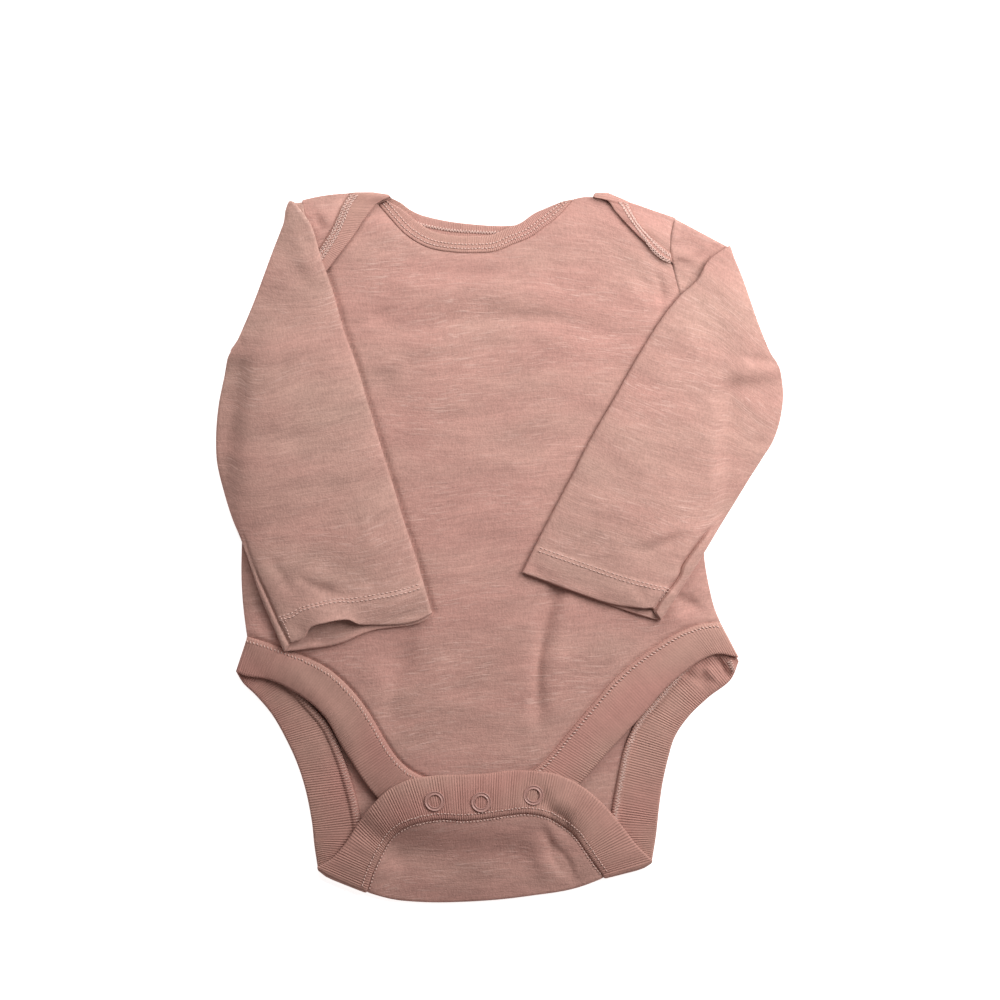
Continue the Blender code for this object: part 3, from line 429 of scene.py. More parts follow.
def from_line(points, line):
    """Distance of points from a line in plan, and the share of its length where it is nearest."""
    reach = running(line)
    best, where = np.full(points.shape[:-1], np.inf), np.zeros(points.shape[:-1])
    for a, b, begin in zip(line, line[1:], reach):
        ahead = b - a
        along = np.clip(((points - a) @ ahead) / (ahead @ ahead), 0, 1)
        off = np.linalg.norm(points - a - along[..., None] * ahead, axis=-1)
        near = off < best
        best = np.where(near, off, best)
        where = np.where(near, (begin + along * np.linalg.norm(ahead)) / reach[-1], where)
    return best, where


def middle_length(sections):
    """Length halfway between the two edges of a band or sleeve."""
    return running((sections[:, :2] + sections[:, 2:]) / 2)[-1]


def joined(*curves):
    """Points of curves that follow each other."""
    return np.concatenate([curves[0]] + [curve[1:] for curve in curves[1:]])


def down(curves, t):
    """Points at places t on curves that follow each other, each one unit of t long."""
    points = np.empty((len(t), 2))
    for k, curve in enumerate(curves):
        here = (t >= k) & (t <= k + 1)
        points[here] = smooth(curve, t[here] - k)
    return points


# ---------------------------------------- height map


def inside(outline):
    """Cells of the height map within a closed outline."""
    hit = np.zeros(CELL_X.shape, bool)
    for (ax, ay), (bx, by) in zip(outline, np.roll(outline, -1, axis=0)):
        low, high = sorted((ay, by))
        rows = slice(np.searchsorted(MAP_Y, low), np.searchsorted(MAP_Y, high))
        if rows.start < rows.stop:
            hit[rows] ^= CELL_X[rows] < ax + (CELL_Y[rows] - ay) * (bx - ax) / (by - ay)
    return hit


def covered(plans):
    """Cells of the height map under any of several grids of plan points."""
    return np.any([inside(rim(plan)) for plan in plans], axis=0)


def blurred(field, cells):
    """A field spread by three sliding means, each over cells on both sides."""
    for _ in range(3):
        for axis in (0, 1):
            field = np.mean([np.roll(field, k, axis) for k in range(-cells, cells + 1)], axis=0)
    return field


def draped(top, reach, blur):
    """Height of the underside of cloth laid on what the height map holds."""
    stood = np.where(top > 0, top + LAYER_GAP, 0.0)
    for axis in (0, 1):
        stood = np.max([np.roll(stood, k, axis) for k in range(-reach, reach + 1)], axis=0)
    return blurred(stood, blur)


def loft(area, height, cells):
    """A soft dome over an area, with nothing at its edges."""
    return height * np.clip(2 * blurred(area.astype(float), cells) - 1, 0, 1) ** DOME_SHAPE


def off_line(line):
    """How far each cell is from a line of points, and at what share of its length it is nearest."""
    return from_line(np.stack([CELL_X, CELL_Y], -1), line)


def off_lines(*lines):
    """How far each cell is from the nearest of several lines."""
    return np.min([off_line(line)[0] for line in lines], axis=0)


def map_line(table, k=0):
    """A table's k-th pair of columns, such as the seam or the free edge, as a smooth line."""
    return fine(table[:, 2 * k : 2 * k + 2], 3.0)


def crease(points, width, height):
    """A soft trough or ridge along points, fading at both ends and uneven on its way."""
    off, where = off_line(smooth(points, np.linspace(0, 1, 4 * len(points))))
    wave = 1 + 0.25 * np.sin(9 * where + height * 40)
    return height * bell(off, width * wave) * np.sin(math.pi * (0.1 + 0.8 * where)) * wave


def puffed(off, height, width):
    """Rise of the cloth away from a seam, which it dips into on both sides."""
    return height * (1 - bell(off, width))


def creased(table):
    """All creases of a table, and the cloth's own small unevenness."""
    field = sum(crease(*row) for row in table)
    for cells, height, seed in UNEVEN:
        noise = blurred(np.random.default_rng(seed).standard_normal(CELL_X.shape), cells)
        field = field + height * noise / noise.std()
    return field


def read(field, plan):
    """Values of a map's field at plan points."""
    x = (plan[..., 0] - MAP_X[0]) / CELL
    y = (plan[..., 1] - MAP_Y[0]) / CELL
    i, j = np.floor(x).astype(int), np.floor(y).astype(int)
    fx, fy = x - i, y - j
    low = field[j, i] * (1 - fx) + field[j, i + 1] * fx
    high = field[j + 1, i] * (1 - fx) + field[j + 1, i + 1] * fx
    return low * (1 - fy) + high * fy


def lay(top, outline, under, thickness):
    """Adds a piece to the height map, given its outline in plan and the height of its underside."""
    area = inside(outline)
    top[area] = np.maximum(top, under + thickness)[area]


def rim(plan):
    """Closed outline of a grid of plan points."""
    return np.concatenate([plan[0], plan[1:, -1], plan[-1, -2::-1], plan[-2:0:-1, 0]])


# ---------------------------------------- thin walls


def lifted(plan, height):
    """Plan points at a height."""
    return np.concatenate([plan, height[..., None]], -1)


def rounded(plan, radius, first=True, last=True):
    """Share of the thickness left at each point of a grid, which runs out at its rounded edges. first and
    last say whether those rows are rounded, column by column or for all."""
    u, v = reaches(plan, 1), reaches(plan, 0)
    ends = [np.where(wanted, off, np.inf) for wanted, off in ((first, v), (last, v[-1:] - v))]
    gone = np.clip(1 - np.min([u, u[:, -1:] - u, *ends], axis=0) / radius, 0, 1)
    return np.maximum(np.sqrt(1 - gone**2), THIN)


def layer(plan, under, thickness, full=1.0, raised=0.0):
    """Upper side and underside of cloth that lies flat. full is the share of its thickness left at each
    point, and raised is what the upper side has on top."""
    middle, half = under + thickness / 2, thickness / 2 * full
    return lifted(plan, middle + half + raised * full), lifted(plan, middle - half)


def turn(lower, upper, outward):
    """Rows that carry the cloth round a fold from a lower row to the row above it."""
    rows = []
    for angle in np.linspace(-math.pi / 2, math.pi / 2, FOLD_STEPS + 2)[1:-1]:
        half = (upper - lower) / 2
        bulge = np.linalg.norm(half, axis=-1, keepdims=True) * math.cos(angle)
        rows.append((lower + upper) / 2 + half * math.sin(angle) + outward * bulge)
    return np.array(rows)


def quads_of(grid):
    """The values at the four corners of each quad in a grid."""
    return np.stack([grid[:-1, :-1], grid[:-1, 1:], grid[1:, 1:], grid[1:, :-1]], 2)


def numbered(rows, columns, begin=0):
    """Numbers of a grid's points."""
    return begin + np.arange(rows * columns).reshape(rows, columns)


def placed(points):
    """Points of the garment's plan, in millimetres, as points of the frame, in metres."""
    return (points.reshape(-1, 3) + SHIFT) * MM


def wall(name, slot, material, *patches):
    """A closed mesh object from patches of cloth: grids of points on its right side and its wrong side,
    with their UVs. Points that patches share are joined."""
    count, faces = 0, []
    for patch in patches:
        number = numbered(*patch[0].shape[:2], count)
        faces.append(quads_of(number).reshape(-1, 4))
        count += number.size
    faces = np.concatenate(faces)
    right, wrong = (np.concatenate([patch[k].reshape(-1, 3) for patch in patches]) for k in (0, 1))
    uv = np.concatenate([patch[2].reshape(-1, 2) for patch in patches])
    keys = np.round(np.concatenate([right, wrong], 1), 3)
    _, first, same = np.unique(keys, axis=0, return_index=True, return_inverse=True)
    right, wrong, welded = right[first], wrong[first], same.ravel()[faces]
    n = len(right)
    # an edge with one face is on the rim
    a, b = welded.ravel(), np.roll(welded, -1, axis=1).ravel()
    edge = np.sort(np.stack([a, b], 1), axis=1) @ np.array([n, 1])
    _, where, used = np.unique(edge, return_inverse=True, return_counts=True)
    open_edge = (used[where.ravel()] == 1) & (a != b)
    source_a, source_b = faces.ravel(), np.roll(faces, -1, axis=1).ravel()
    rim_faces = np.stack([b, a, a + n, b + n], 1)[open_edge]
    rim_uv = np.stack([source_b, source_a, source_a, source_b], 1)[open_edge]
    quads = np.concatenate([welded, (welded + n)[:, ::-1], rim_faces])
    quad_uv = uv[np.concatenate([faces, faces[:, ::-1], rim_uv])] * MM
    return new_piece(name, placed(np.concatenate([right, wrong])), quads, quad_uv, material)


def new_piece(name, points, quads, quad_uv, material):
    """A mesh object from quads with UVs, its faces pointing out. A quad's repeated corner is left out."""
    keep = quads != np.roll(quads, 1, axis=1)
    size = keep.sum(1)
    whole = size >= 3
    quads, keep, size, quad_uv = quads[whole], keep[whole], size[whole], quad_uv[whole]
    a, b, c, d = (points[quads[:, k]] for k in range(4))
    volume = np.einsum("ij,ij->", a, np.cross(b, c)) + np.einsum("ij,ij->", a, np.cross(c, d))
    if volume < 0:
        quads, keep, quad_uv = quads[:, ::-1], keep[:, ::-1], quad_uv[:, ::-1]
    mesh = bpy.data.meshes.new(name)
    mesh.vertices.add(len(points))
    mesh.vertices.foreach_set("co", points.ravel())
    mesh.loops.add(int(size.sum()))
    mesh.loops.foreach_set("vertex_index", quads[keep].astype(np.int32))
    mesh.polygons.add(len(quads))
    mesh.polygons.foreach_set("loop_start", np.r_[0, np.cumsum(size)[:-1]].astype(np.int32))
    mesh.update(calc_edges=True)
    mesh.uv_layers.new(name="cloth").data.foreach_set("uv", quad_uv[keep].ravel())
    mesh.polygons.foreach_set("use_smooth", np.ones(len(quads), bool))
    mesh.validate()
    mesh.materials.append(material)
    obj = bpy.data.objects.new(name, mesh)
    bpy.context.scene.collection.objects.link(obj)
    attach(obj, "root")
    return obj


# ---------------------------------------- panels


def crossing(distances, width):
    """Shares of the way across rows of given widths, for columns given by their distances across the
    widest row. Columns on the rims keep their distance from the edge."""
    full = distances[-1]
    edge = RIM[-1] * JERSEY / 2
    part = np.clip((distances - edge) / (full - 2 * edge), 0, 1)
    shift = np.where(distances < edge, distances, np.where(distances > full - edge, distances - full, 0))
    shift = np.where(shift == 0, edge * (1 - 2 * part), shift)
    shift[0] = shift[-1] = 0
    return (shift + part * width[:, None]) / width[:, None]


def grid(left, right, share, first, last, reach):
    """Plan points between two side edges. The first and last rows run on their own curves, given as close
    points from left to right, and the rows next to them bend less and less, over reach."""
    rows = left[:, None] + share[..., None] * (right - left)[:, None]
    length = running((left + right) / 2)
    reach = min(reach, length[-1])
    plan = rows.copy()
    for row, curve, far in ((0, first, length), (-1, last, length[-1] - length)):
        bend = np.interp(rows[row, :, 0], curve[:, 0], curve[:, 1]) - rows[row, :, 1]
        plan[..., 1] += np.clip(1 - far / reach, 0, 1)[:, None] ** 2 * bend
    return plan


def row_places(curves, round_last=True):
    """Places of rows down two curves that follow each other, as down() takes them."""
    one, two = (running(curve)[-1] for curve in curves)
    upper = spaced(one, STEP, JERSEY / 2)
    lower = spaced(two, STEP, JERSEY / 2 if round_last else 0.01)
    return np.r_[upper[: -len(RIM)] / one, 1.0, 1 + lower[len(RIM) :] / two]


def fold_places(length):
    """Shares of a length for rows from a fold to a rounded end."""
    places = spaced(length, STEP, JERSEY / 2)[len(RIM) - 1 :] / length
    places[0] = 0
    return places


def front_plan():
    """Plan of the front panel."""
    begin, end = FRONT_CROTCH
    left = BODY_SIDES[:, :2], FRONT_LEG[: begin + 1, :2]
    right = BODY_SIDES[:, 2:], FRONT_LEG[: end - 1 : -1, :2]
    t = row_places(left)
    a, b = down(left, t), down(right, t)
    first = joined(fine(FRONT_SHOULDER_LEFT), fine(FRONT_NECK[:, :2]), fine(FRONT_SHOULDER_RIGHT))
    last = smooth(FRONT_LEG, np.linspace(*shares(FRONT_LEG)[[begin, end]], 120))[:, :2]
    width = np.linalg.norm(b - a, axis=1)
    share = crossing(spaced(width.max(), STEP, JERSEY / 2), width)
    return grid(a, b, share, first, last, NECK_REACH)


def back_columns():
    """Distances across of the back's columns, and how many lie on each shoulder, its seam included."""
    ends = np.r_[BACK_SHOULDER_LEFT[[0, -1], 0], BACK_SHOULDER_RIGHT[[0, -1], 0]]
    left, middle, right = (spaced(width, STEP, JERSEY / 2) for width in np.diff(ends))
    columns = np.r_[left, left[-1] + middle[1:], left[-1] + middle[-1] + right[1:]]
    return columns, len(left), len(right)


def back_plan(columns):
    """Plan of the back panel on the floor."""
    left, right = (BODY_SIDES[:, :2], BACK_LEG_LEFT[:, :2]), (BODY_SIDES[:, 2:], BACK_LEG_RIGHT[:, :2])
    t = row_places(left, False)
    a, b = down(left, t), down(right, t)
    first = joined(fine(BACK_SHOULDER_LEFT), fine(BACK_NECK[:, :2]), fine(BACK_SHOULDER_RIGHT))
    share = crossing(columns, np.linalg.norm(b - a, axis=1))
    share[0] = columns / columns[-1]
    return grid(a, b, share, first, fine(CROTCH_FOLD), NECK_REACH)


def lap_plan(table, fold, from_armhole):
    """Plan of a shoulder lap, whose first row is the fold."""
    lap = smooth(table, fold_places(running(table[:, 2:4])[-1]))
    edge, seam = lap[:, :2], lap[:, 2:4]
    left, right = (edge, seam) if from_armhole else (seam, edge)
    share = (fold[:, 0] - fold[0, 0]) / (fold[-1, 0] - fold[0, 0])
    last = left[-1] + np.linspace(0, 1, 9)[:, None] * (right[-1] - left[-1])
    return grid(left, right, np.tile(share, (len(lap), 1)), fold, last, LAP_REACH)


def flap_plan(columns):
    """Plan of the crotch flap, whose first row is the crotch fold."""
    begin, end = FLAP_CORNERS
    left, right = FLAP_BAND[: begin + 1, :2], FLAP_BAND[: end - 1 : -1, :2]
    places = fold_places(running(left)[-1])
    a, b = smooth(left, places), smooth(right, places)
    last = smooth(FLAP_BAND, np.linspace(*shares(FLAP_BAND)[[begin, end]], 160))[:, :2]
    share = crossing(columns, np.linalg.norm(b - a, axis=1))
    return grid(a, b, share, fine(CROTCH_FOLD), last, FLAP_REACH)


def strip(sections, thickness, near, columns):
    """Plan points across a band, from its seam, kept clear of the panel, to its free edge. Columns lie
    close together up to near from the seam."""
    seam, free = sections[:, :2], sections[:, 2:]
    away = unit(free - seam)
    seam = seam + SEAM_GAP / 2 * away
    width = np.linalg.norm(free - seam, axis=1)
    ends = np.array(RIM) * thickness / 2
    close = np.arange(ends[-1], near, FINE_STEP)
    middle = close[-1] + np.linspace(0, 1, columns)[None] * (width[:, None] - ends[-1] - close[-1])
    fixed = np.tile(np.r_[ends[:-1], close[:-1]], (len(width), 1))
    at = np.concatenate([fixed, middle, width[:, None] - ends[-2::-1]], 1)
    return seam[:, None] + at[..., None] * away[:, None]


def leg_strip(sections):
    return strip(sections, RIB, *LEG_COLUMNS)


def neck_strip(sections):
    return strip(sections, BINDING, *NECK_COLUMNS)


def stitched(plan, rows, depth=SEWING_DEPTH, allowance=(0.0, 0.0)):
    """Height across a band: a groove under each row of stitches, given as distances from the seam, and
    the seam's raised allowance beside it, given as its width and height, where one shows."""
    across = reaches(plan, 1)
    height = np.zeros(across.shape)
    for row in rows:
        height -= depth * bell(across - row, 0.6)
    return height + below(across - allowance[0], 0.25, allowance[1])


def band_sections(table, pitch):
    """Sections along a band, four to a rib, evenly spaced halfway between its edges."""
    dense = fine(table, 0.25)
    reach = running((dense[:, :2] + dense[:, 2:]) / 2)
    return points_at(dense, reach, np.linspace(0, reach[-1], int(reach[-1] / pitch) * 4 + 1))


def ribs(plan, height):
    """Height of the ridges along a band with four rows to a rib."""
    return height * np.sin(np.arange(len(plan)) * math.pi / 2 + 0.4)[:, None]


def band_uv(points, along=None):
    """UVs of a band in millimetres: across from the seam, and along."""
    across = reaches(points, 1)
    along = running(points[:, points.shape[1] // 2] if along is None else along)
    return np.stack([across, np.broadcast_to(along[:, None], across.shape)], -1)


def corner(row, radius, at_seam, at_free):
    """How far each point of a band's row bulges at a fold, so that its corner is round."""
    off = np.linalg.norm(row - row[-1], axis=1)
    size = at_free + (at_seam - at_free) * off / off.max()
    return (size * np.sqrt(1 - np.clip(1 - off / radius, 0, 1) ** 2))[:, None]


def courses(plan):
    """UVs of the body's jersey in millimetres. Its courses rise a little to the right, and fall off
    towards the right shoulder."""
    x, y = plan[..., 0], plan[..., 1]
    return np.stack([x, y - 0.07 * x + below(112 - y, 14, 6.0 * np.logaddexp(0, (x - 35) / 12))], -1)


def folded_uv(rows, fold, way):
    """UVs of cloth that turns over a fold: they run on from the fold, up or down the plan."""
    return courses(np.stack([rows[..., 0], fold[:, 1] + way * reaches(rows, 0)], -1))


def from_roll(row):
    """Unit vectors in plan that point from the crotch fold's centre to each point."""
    return np.c_[unit(row - ROLL_CENTRE), np.zeros(len(row))]


# ---------------------------------------- sleeves

Sleeve = namedtuple("Sleeve", "node side rows cuff mouth creases seam ditch bulge tilt cap_room")
SLEEVES = (
    Sleeve("sleeve_left", -1, SLEEVE_LEFT, CUFF_LEFT, MOUTH_LEFT, SLEEVE_LEFT_CREASES, UNDERARM_LEFT,
           DITCH_LEFT, FOLD_BULGE_LEFT, 9.5, 0.3),
    Sleeve("sleeve_right", 1, SLEEVE_RIGHT, CUFF_RIGHT, MOUTH_RIGHT, SLEEVE_RIGHT_CREASES, UNDERARM_RIGHT,
           DITCH_RIGHT, FOLD_BULGE_RIGHT, -14.0, 1.0),
)


def fine_profile(rows):
    """A smooth curve through a profile's rows, for np.interp."""
    points = fine(rows * (60, 1))
    return points[:, 0] / 60, points[:, 1]


def armhole_plan(side, columns):
    """Plan points down one armhole, at given shares of its length: side -1 is the left one."""
    place = smooth(BODY_SIDES, columns * shares(BODY_SIDES)[ARMPIT_ROW])
    return place[:, 1 + side : 3 + side] + (side * ARMHOLE_GAP, 0.0)


def sleeve_columns(width):
    """Shares of the way across flat sleeves of given widths, closer together near the folded edges and
    near the underarm seam, which lies inside the outer edge."""
    ends = np.array(RIM) * SLEEVE_EDGE
    count = round((width.max() - ends[-1] - UNDERARM_ZONE) / SLEEVE_STEP) + 1
    zone = np.arange(UNDERARM_ZONE - UNDERARM_STEP, ends[-1] + UNDERARM_STEP / 2, -UNDERARM_STEP)
    outer = np.r_[zone, ends[::-1]]
    middle = ends[-1] + np.linspace(0, 1, count)[None] * (width[:, None] - UNDERARM_ZONE - ends[-1])
    at = np.concatenate([np.tile(ends[:-1], (len(width), 1)), middle, width[:, None] - outer], 1)
    return at / width[:, None]


def sleeve_places(length, hem):
    """Places of a sleeve's rows, as shares of its length, closer together in the hem."""
    body = np.linspace(0, hem, round(length * hem / SLEEVE_STEP))
    tail = 1 - np.array(RIM)[::-1] * HEM / 2 / length
    cuff = np.linspace(hem + HEM_STEP / length, tail[0], 11)[:-1]
    return np.r_[body, hem + HEM_STEP / 2 / length, cuff, tail]


def tube(over, under, share, width, low, space, thickness, relief=0.0, near_top=True):
    """Outer and inner points round a flat tube, in rows that start on its top or its bottom layer. over and
    under are the plan points of the two, low is the height of its underside, space the room inside it and
    relief what its top layer has on top."""
    from_edge = np.minimum(share, 1 - share) * width[:, None]
    full = np.sqrt(1 - np.clip(1 - from_edge / SLEEVE_EDGE, 0, 1) ** 2)
    thick = thickness[:, None]
    half = thick + space / 2
    squeeze = thick / width[:, None]
    inset = squeeze + share * (1 - 2 * squeeze)
    shells = []
    for reach, within in ((half * full, False), (np.maximum(space / 2, 0.12) * full, True)):
        layers = []
        for plan, sign in ((over, 1), (under, -1)):
            if within:
                start, chord = plan[:, :1], plan[:, -1:] - plan[:, :1]
                plan = start + chord * inset[..., None] + (plan - start - chord * share[..., None])
            layers.append(lifted(plan, low + half + sign * reach + (relief * full if sign > 0 else 0.0)))
        near, far = layers if near_top else layers[::-1]
        shells.append(np.concatenate([near, far[:, -2::-1]], 1))
    return shells


def sleeve_relief(s, over):
    """What a sleeve's top layer has on top: the underarm seam's ditch, its banks and their slope."""
    off, where = from_line(over, smooth(s.seam, np.linspace(0, 1, 30)))
    deep, bank = s.ditch
    relief = bank * (1 - bell(off, 1.5)) - deep * bell(off, UNDERARM_WIDTH)
    return np.clip(where * 6, 0, 1) * (relief - bank * np.clip((off - 4) / 10, 0, 1))


def sleeve_uv(s, points):
    """UVs of a sleeve in millimetres. Its courses lie at its own tilt, and the right one's fall off
    towards its cuff."""
    tilt = math.radians(s.tilt)
    x, y, z = (points[..., k] for k in range(3))
    fall = below(38 - y, 10, 0.6 * 12 * np.logaddexp(0, (x - 108) / 12)) if s.side > 0 else 0.0
    u, v = x * math.cos(tilt) + y * math.sin(tilt), y * math.cos(tilt) - x * math.sin(tilt)
    return np.stack([u, v + fall + z], -1)


def make_sleeve(s, under_map, space_map, cap_map, material):
    """A sleeve: its cap from the armhole out to the fold on the floor, then back over the front."""
    length = middle_length(s.rows)
    hem = 1 - HEM_DEPTH / length
    places = sleeve_places(length, hem)
    from_end = (1 - places) * length
    sections = smooth(s.rows, places)
    inner, outer = sections[:, :2], sections[:, 2:]
    width = np.linalg.norm(outer - inner, axis=1)
    share = sleeve_columns(width)
    armhole = armhole_plan(s.side, share[0])

    # the fold bows, and both layers of the cuff reach past a straight line
    straight = inner[:, None] + share[..., None] * (outer - inner)[:, None]
    ahead = straight[0, -1] - straight[0, 0]
    square = np.array([ahead[1], -ahead[0], 0.0]) / np.linalg.norm(ahead)
    square *= math.copysign(1.0, square[:2] @ (straight[0].mean(0) - armhole.mean(0)))
    bow = np.interp(share, *fine_profile(FOLD_BOW))
    bow = bow * np.clip(1 - places * length / FOLD_EASE, 0, 1)[:, None] ** 2
    straight = straight - bow[..., None] * square[:2]
    along = np.stack([(outer - inner)[:, 1], -(outer - inner)[:, 0]], 1) / width[:, None]
    along *= -np.sign(along[:, 1:])
    ease = np.clip(1 - from_end / CUFF_EASE, 0, 1)[:, None] ** 2
    bends = [ease * np.interp(share, *fine_profile(s.cuff[:, [0, k]])) for k in (1, 2)]
    over, under = (straight + bend[..., None] * along[:, None] for bend in bends)

    # thickness of the cloth, and the room between the layers
    in_hem = np.clip((places - hem) * length / HEM_STEP, 0, 1)
    edge = np.clip(from_end / (HEM / 2), 0, 1)
    thickness = JERSEY + (HEM - JERSEY) * in_hem + HEM_ROLL * bell(from_end - 1.2, 1.0)
    thickness = thickness * np.maximum(np.sqrt(1 - (1 - edge) ** 2), THIN)
    spare = (HEM - thickness)[:, None] * (in_hem > 0.99)[:, None]
    low = read(under_map, under) + spare / 2
    space = read(space_map, over) + spare
    where, breadth, height = s.mouth
    space = space + ease * height * bell(share - where, breadth)
    near, near_inside = tube(over, under, share, width, low, space, thickness, sleeve_relief(s, over))
    roll = (below(from_end - 2.5, 0.2, MOUTH_RIM) * edge)[:, None]
    near_inside[:, share.shape[1] :, 2] += np.minimum(roll, 0.5 * (space - 0.6).clip(0))[:, -2::-1]

    # the cap lies on the floor
    gap = np.linalg.norm(armhole - straight[0], axis=1).mean()
    steps = np.linspace(0, 1, max(4, round(gap / SLEEVE_STEP)))
    plan = armhole + steps[:, None, None] * (straight[0] - armhole)
    room = np.maximum(read(cap_map, plan) - 2 * JERSEY, LAYER_GAP)
    cap, cap_inside = tube(
        plan, plan, np.tile(share[0], (len(steps), 1)), np.linalg.norm(plan[:, -1] - plan[:, 0], axis=1),
        0.0, room, np.full(len(steps), JERSEY), near_top=False,
    )
    size = np.interp(share[0], *s.bulge.T)
    outward = np.r_[size, size[-2::-1]][:, None] * square
    outside, lining = (
        np.concatenate([a, turn(a[-1], b[0], outward), b])
        for a, b in ((cap, near), (cap_inside, near_inside))
    )
    piece = wall(f"cloth_{s.node}", "jersey", material, (outside, lining, sleeve_uv(s, outside)))
    flat = float(np.mean(2 * width)), float(running(outside[:, outside.shape[1] // 4])[-1])
    return piece, near[:, : share.shape[1]], places, flat


# ---------------------------------------- stitches

STITCH = np.array((0, 0.16, 0.5, 0.84, 1))  # shares of a stitch's length where its sections lie
STITCH_RADIUS = (0.45, 0.85, 1, 0.85, 0.45)
STITCH_SIDES = 5


class Thread:
    """Stitches gathered into one mesh. Each is a short arched length of thread, from a point a to a b."""

    def __init__(self, radius):
        self.radius, self.a, self.b = radius, [], []

    def sew(self, lines, reach, places, height, wander):
        """Stitches from places on one line in plan to places on another."""
        for line, at, ends in zip(lines, places, (self.a, self.b)):
            xy = points_at(line, reach, at)
            xy = xy + CHAOS.normal(0, wander, xy.shape)
            ends.append(np.c_[xy, height(xy)])

    def row(self, line, height, length, gap, wander=0.06):
        """A row of straight stitches along a line in plan."""
        reach = running(line)
        at = np.arange(0.3, reach[-1] - length, length + gap)
        self.sew((line, line), reach, (at, at + length), height, wander)

    def ticks(self, one, other, height, pitch=1.9, lean=0.9):
        """Short slanting stitches from one line in plan to another."""
        reach = running((one + other) / 2)
        at = np.arange(0.3, reach[-1] - lean - 0.3, pitch)
        self.sew((one, other), reach, (at, at + lean), height, 0.08)

    def zigzag(self, one, other, height, pitch):
        """Stitches to and fro between two lines in plan."""
        reach = running((one + other) / 2)
        at = np.arange(0.3, reach[-1] - 0.3, pitch / 2)
        odd = (np.arange(len(at)) % 2 == 1)[:, None]
        xy = np.where(odd, points_at(one, reach, at), points_at(other, reach, at))
        xy = xy + CHAOS.normal(0, 0.05, xy.shape)
        points = np.c_[xy, height(xy)]
        self.a.append(points[:-1])
        self.b.append(points[1:])

    def straight(self, line, begin, margin, length, pitch):
        """Even stitches along a line in space."""
        line = even(line, 0.5)
        reach = running(line[:, :2])
        at = np.arange(begin, reach[-1] - margin, pitch)
        self.a.append(points_at(line, reach, at))
        self.b.append(points_at(line, reach, at + length))

    def piece(self, name, material):
        """All the stitches as one mesh object."""
        a, b = np.concatenate(self.a), np.concatenate(self.b)
        length = np.linalg.norm(b - a, axis=1, keepdims=True)
        ahead = (b - a) / length
        side = unit(np.cross(ahead, (0.0, 0.0, 1.0)))
        up = np.cross(side, ahead)
        rings = []
        for share, size in zip(STITCH, STITCH_RADIUS):
            centre = a + ahead * length * share + up * (self.radius * 1.1 * math.sin(math.pi * share))
            for angle in np.linspace(0, 2 * math.pi, STITCH_SIDES, endpoint=False):
                rings.append(centre + self.radius * size * (side * math.cos(angle) + up * math.sin(angle)))
        points = np.stack(rings, 1)
        number = numbered(len(STITCH), STITCH_SIDES)
        caps = [
            cap[corners]
            for cap in (number[0, ::-1], number[-1])
            for corners in ([0, 1, 2, 3], [0, 3, 4, 0])
        ]
        faces = np.concatenate([quads_of(np.c_[number, number[:, 0]]).reshape(-1, 4), caps])
        u, v = np.meshgrid(np.arange(STITCH_SIDES + 1) / STITCH_SIDES, STITCH)
        uv = np.concatenate([quads_of(np.stack([u, v], -1)).reshape(-1, 4, 2), np.zeros((len(caps), 4, 2))])
        quads = (faces + np.arange(len(a))[:, None, None] * number.size).reshape(-1, 4)
        return new_piece(name, placed(points), quads, np.tile(uv, (len(a), 1, 1)), material)


def into_band(table, distance):
    """A line along a band, a distance from its seam. Less than nothing is on the panel."""
    sections = fine(table)
    return sections[:, :2] + distance * unit(sections[:, 2:] - sections[:, :2])


def at_height(height, field=None):
    """Heights of a thread, for points in plan: a height, on top of a map's field where one is given."""
    return lambda xy: (0.0 if field is None else read(field, xy)) + np.full(len(xy), height)


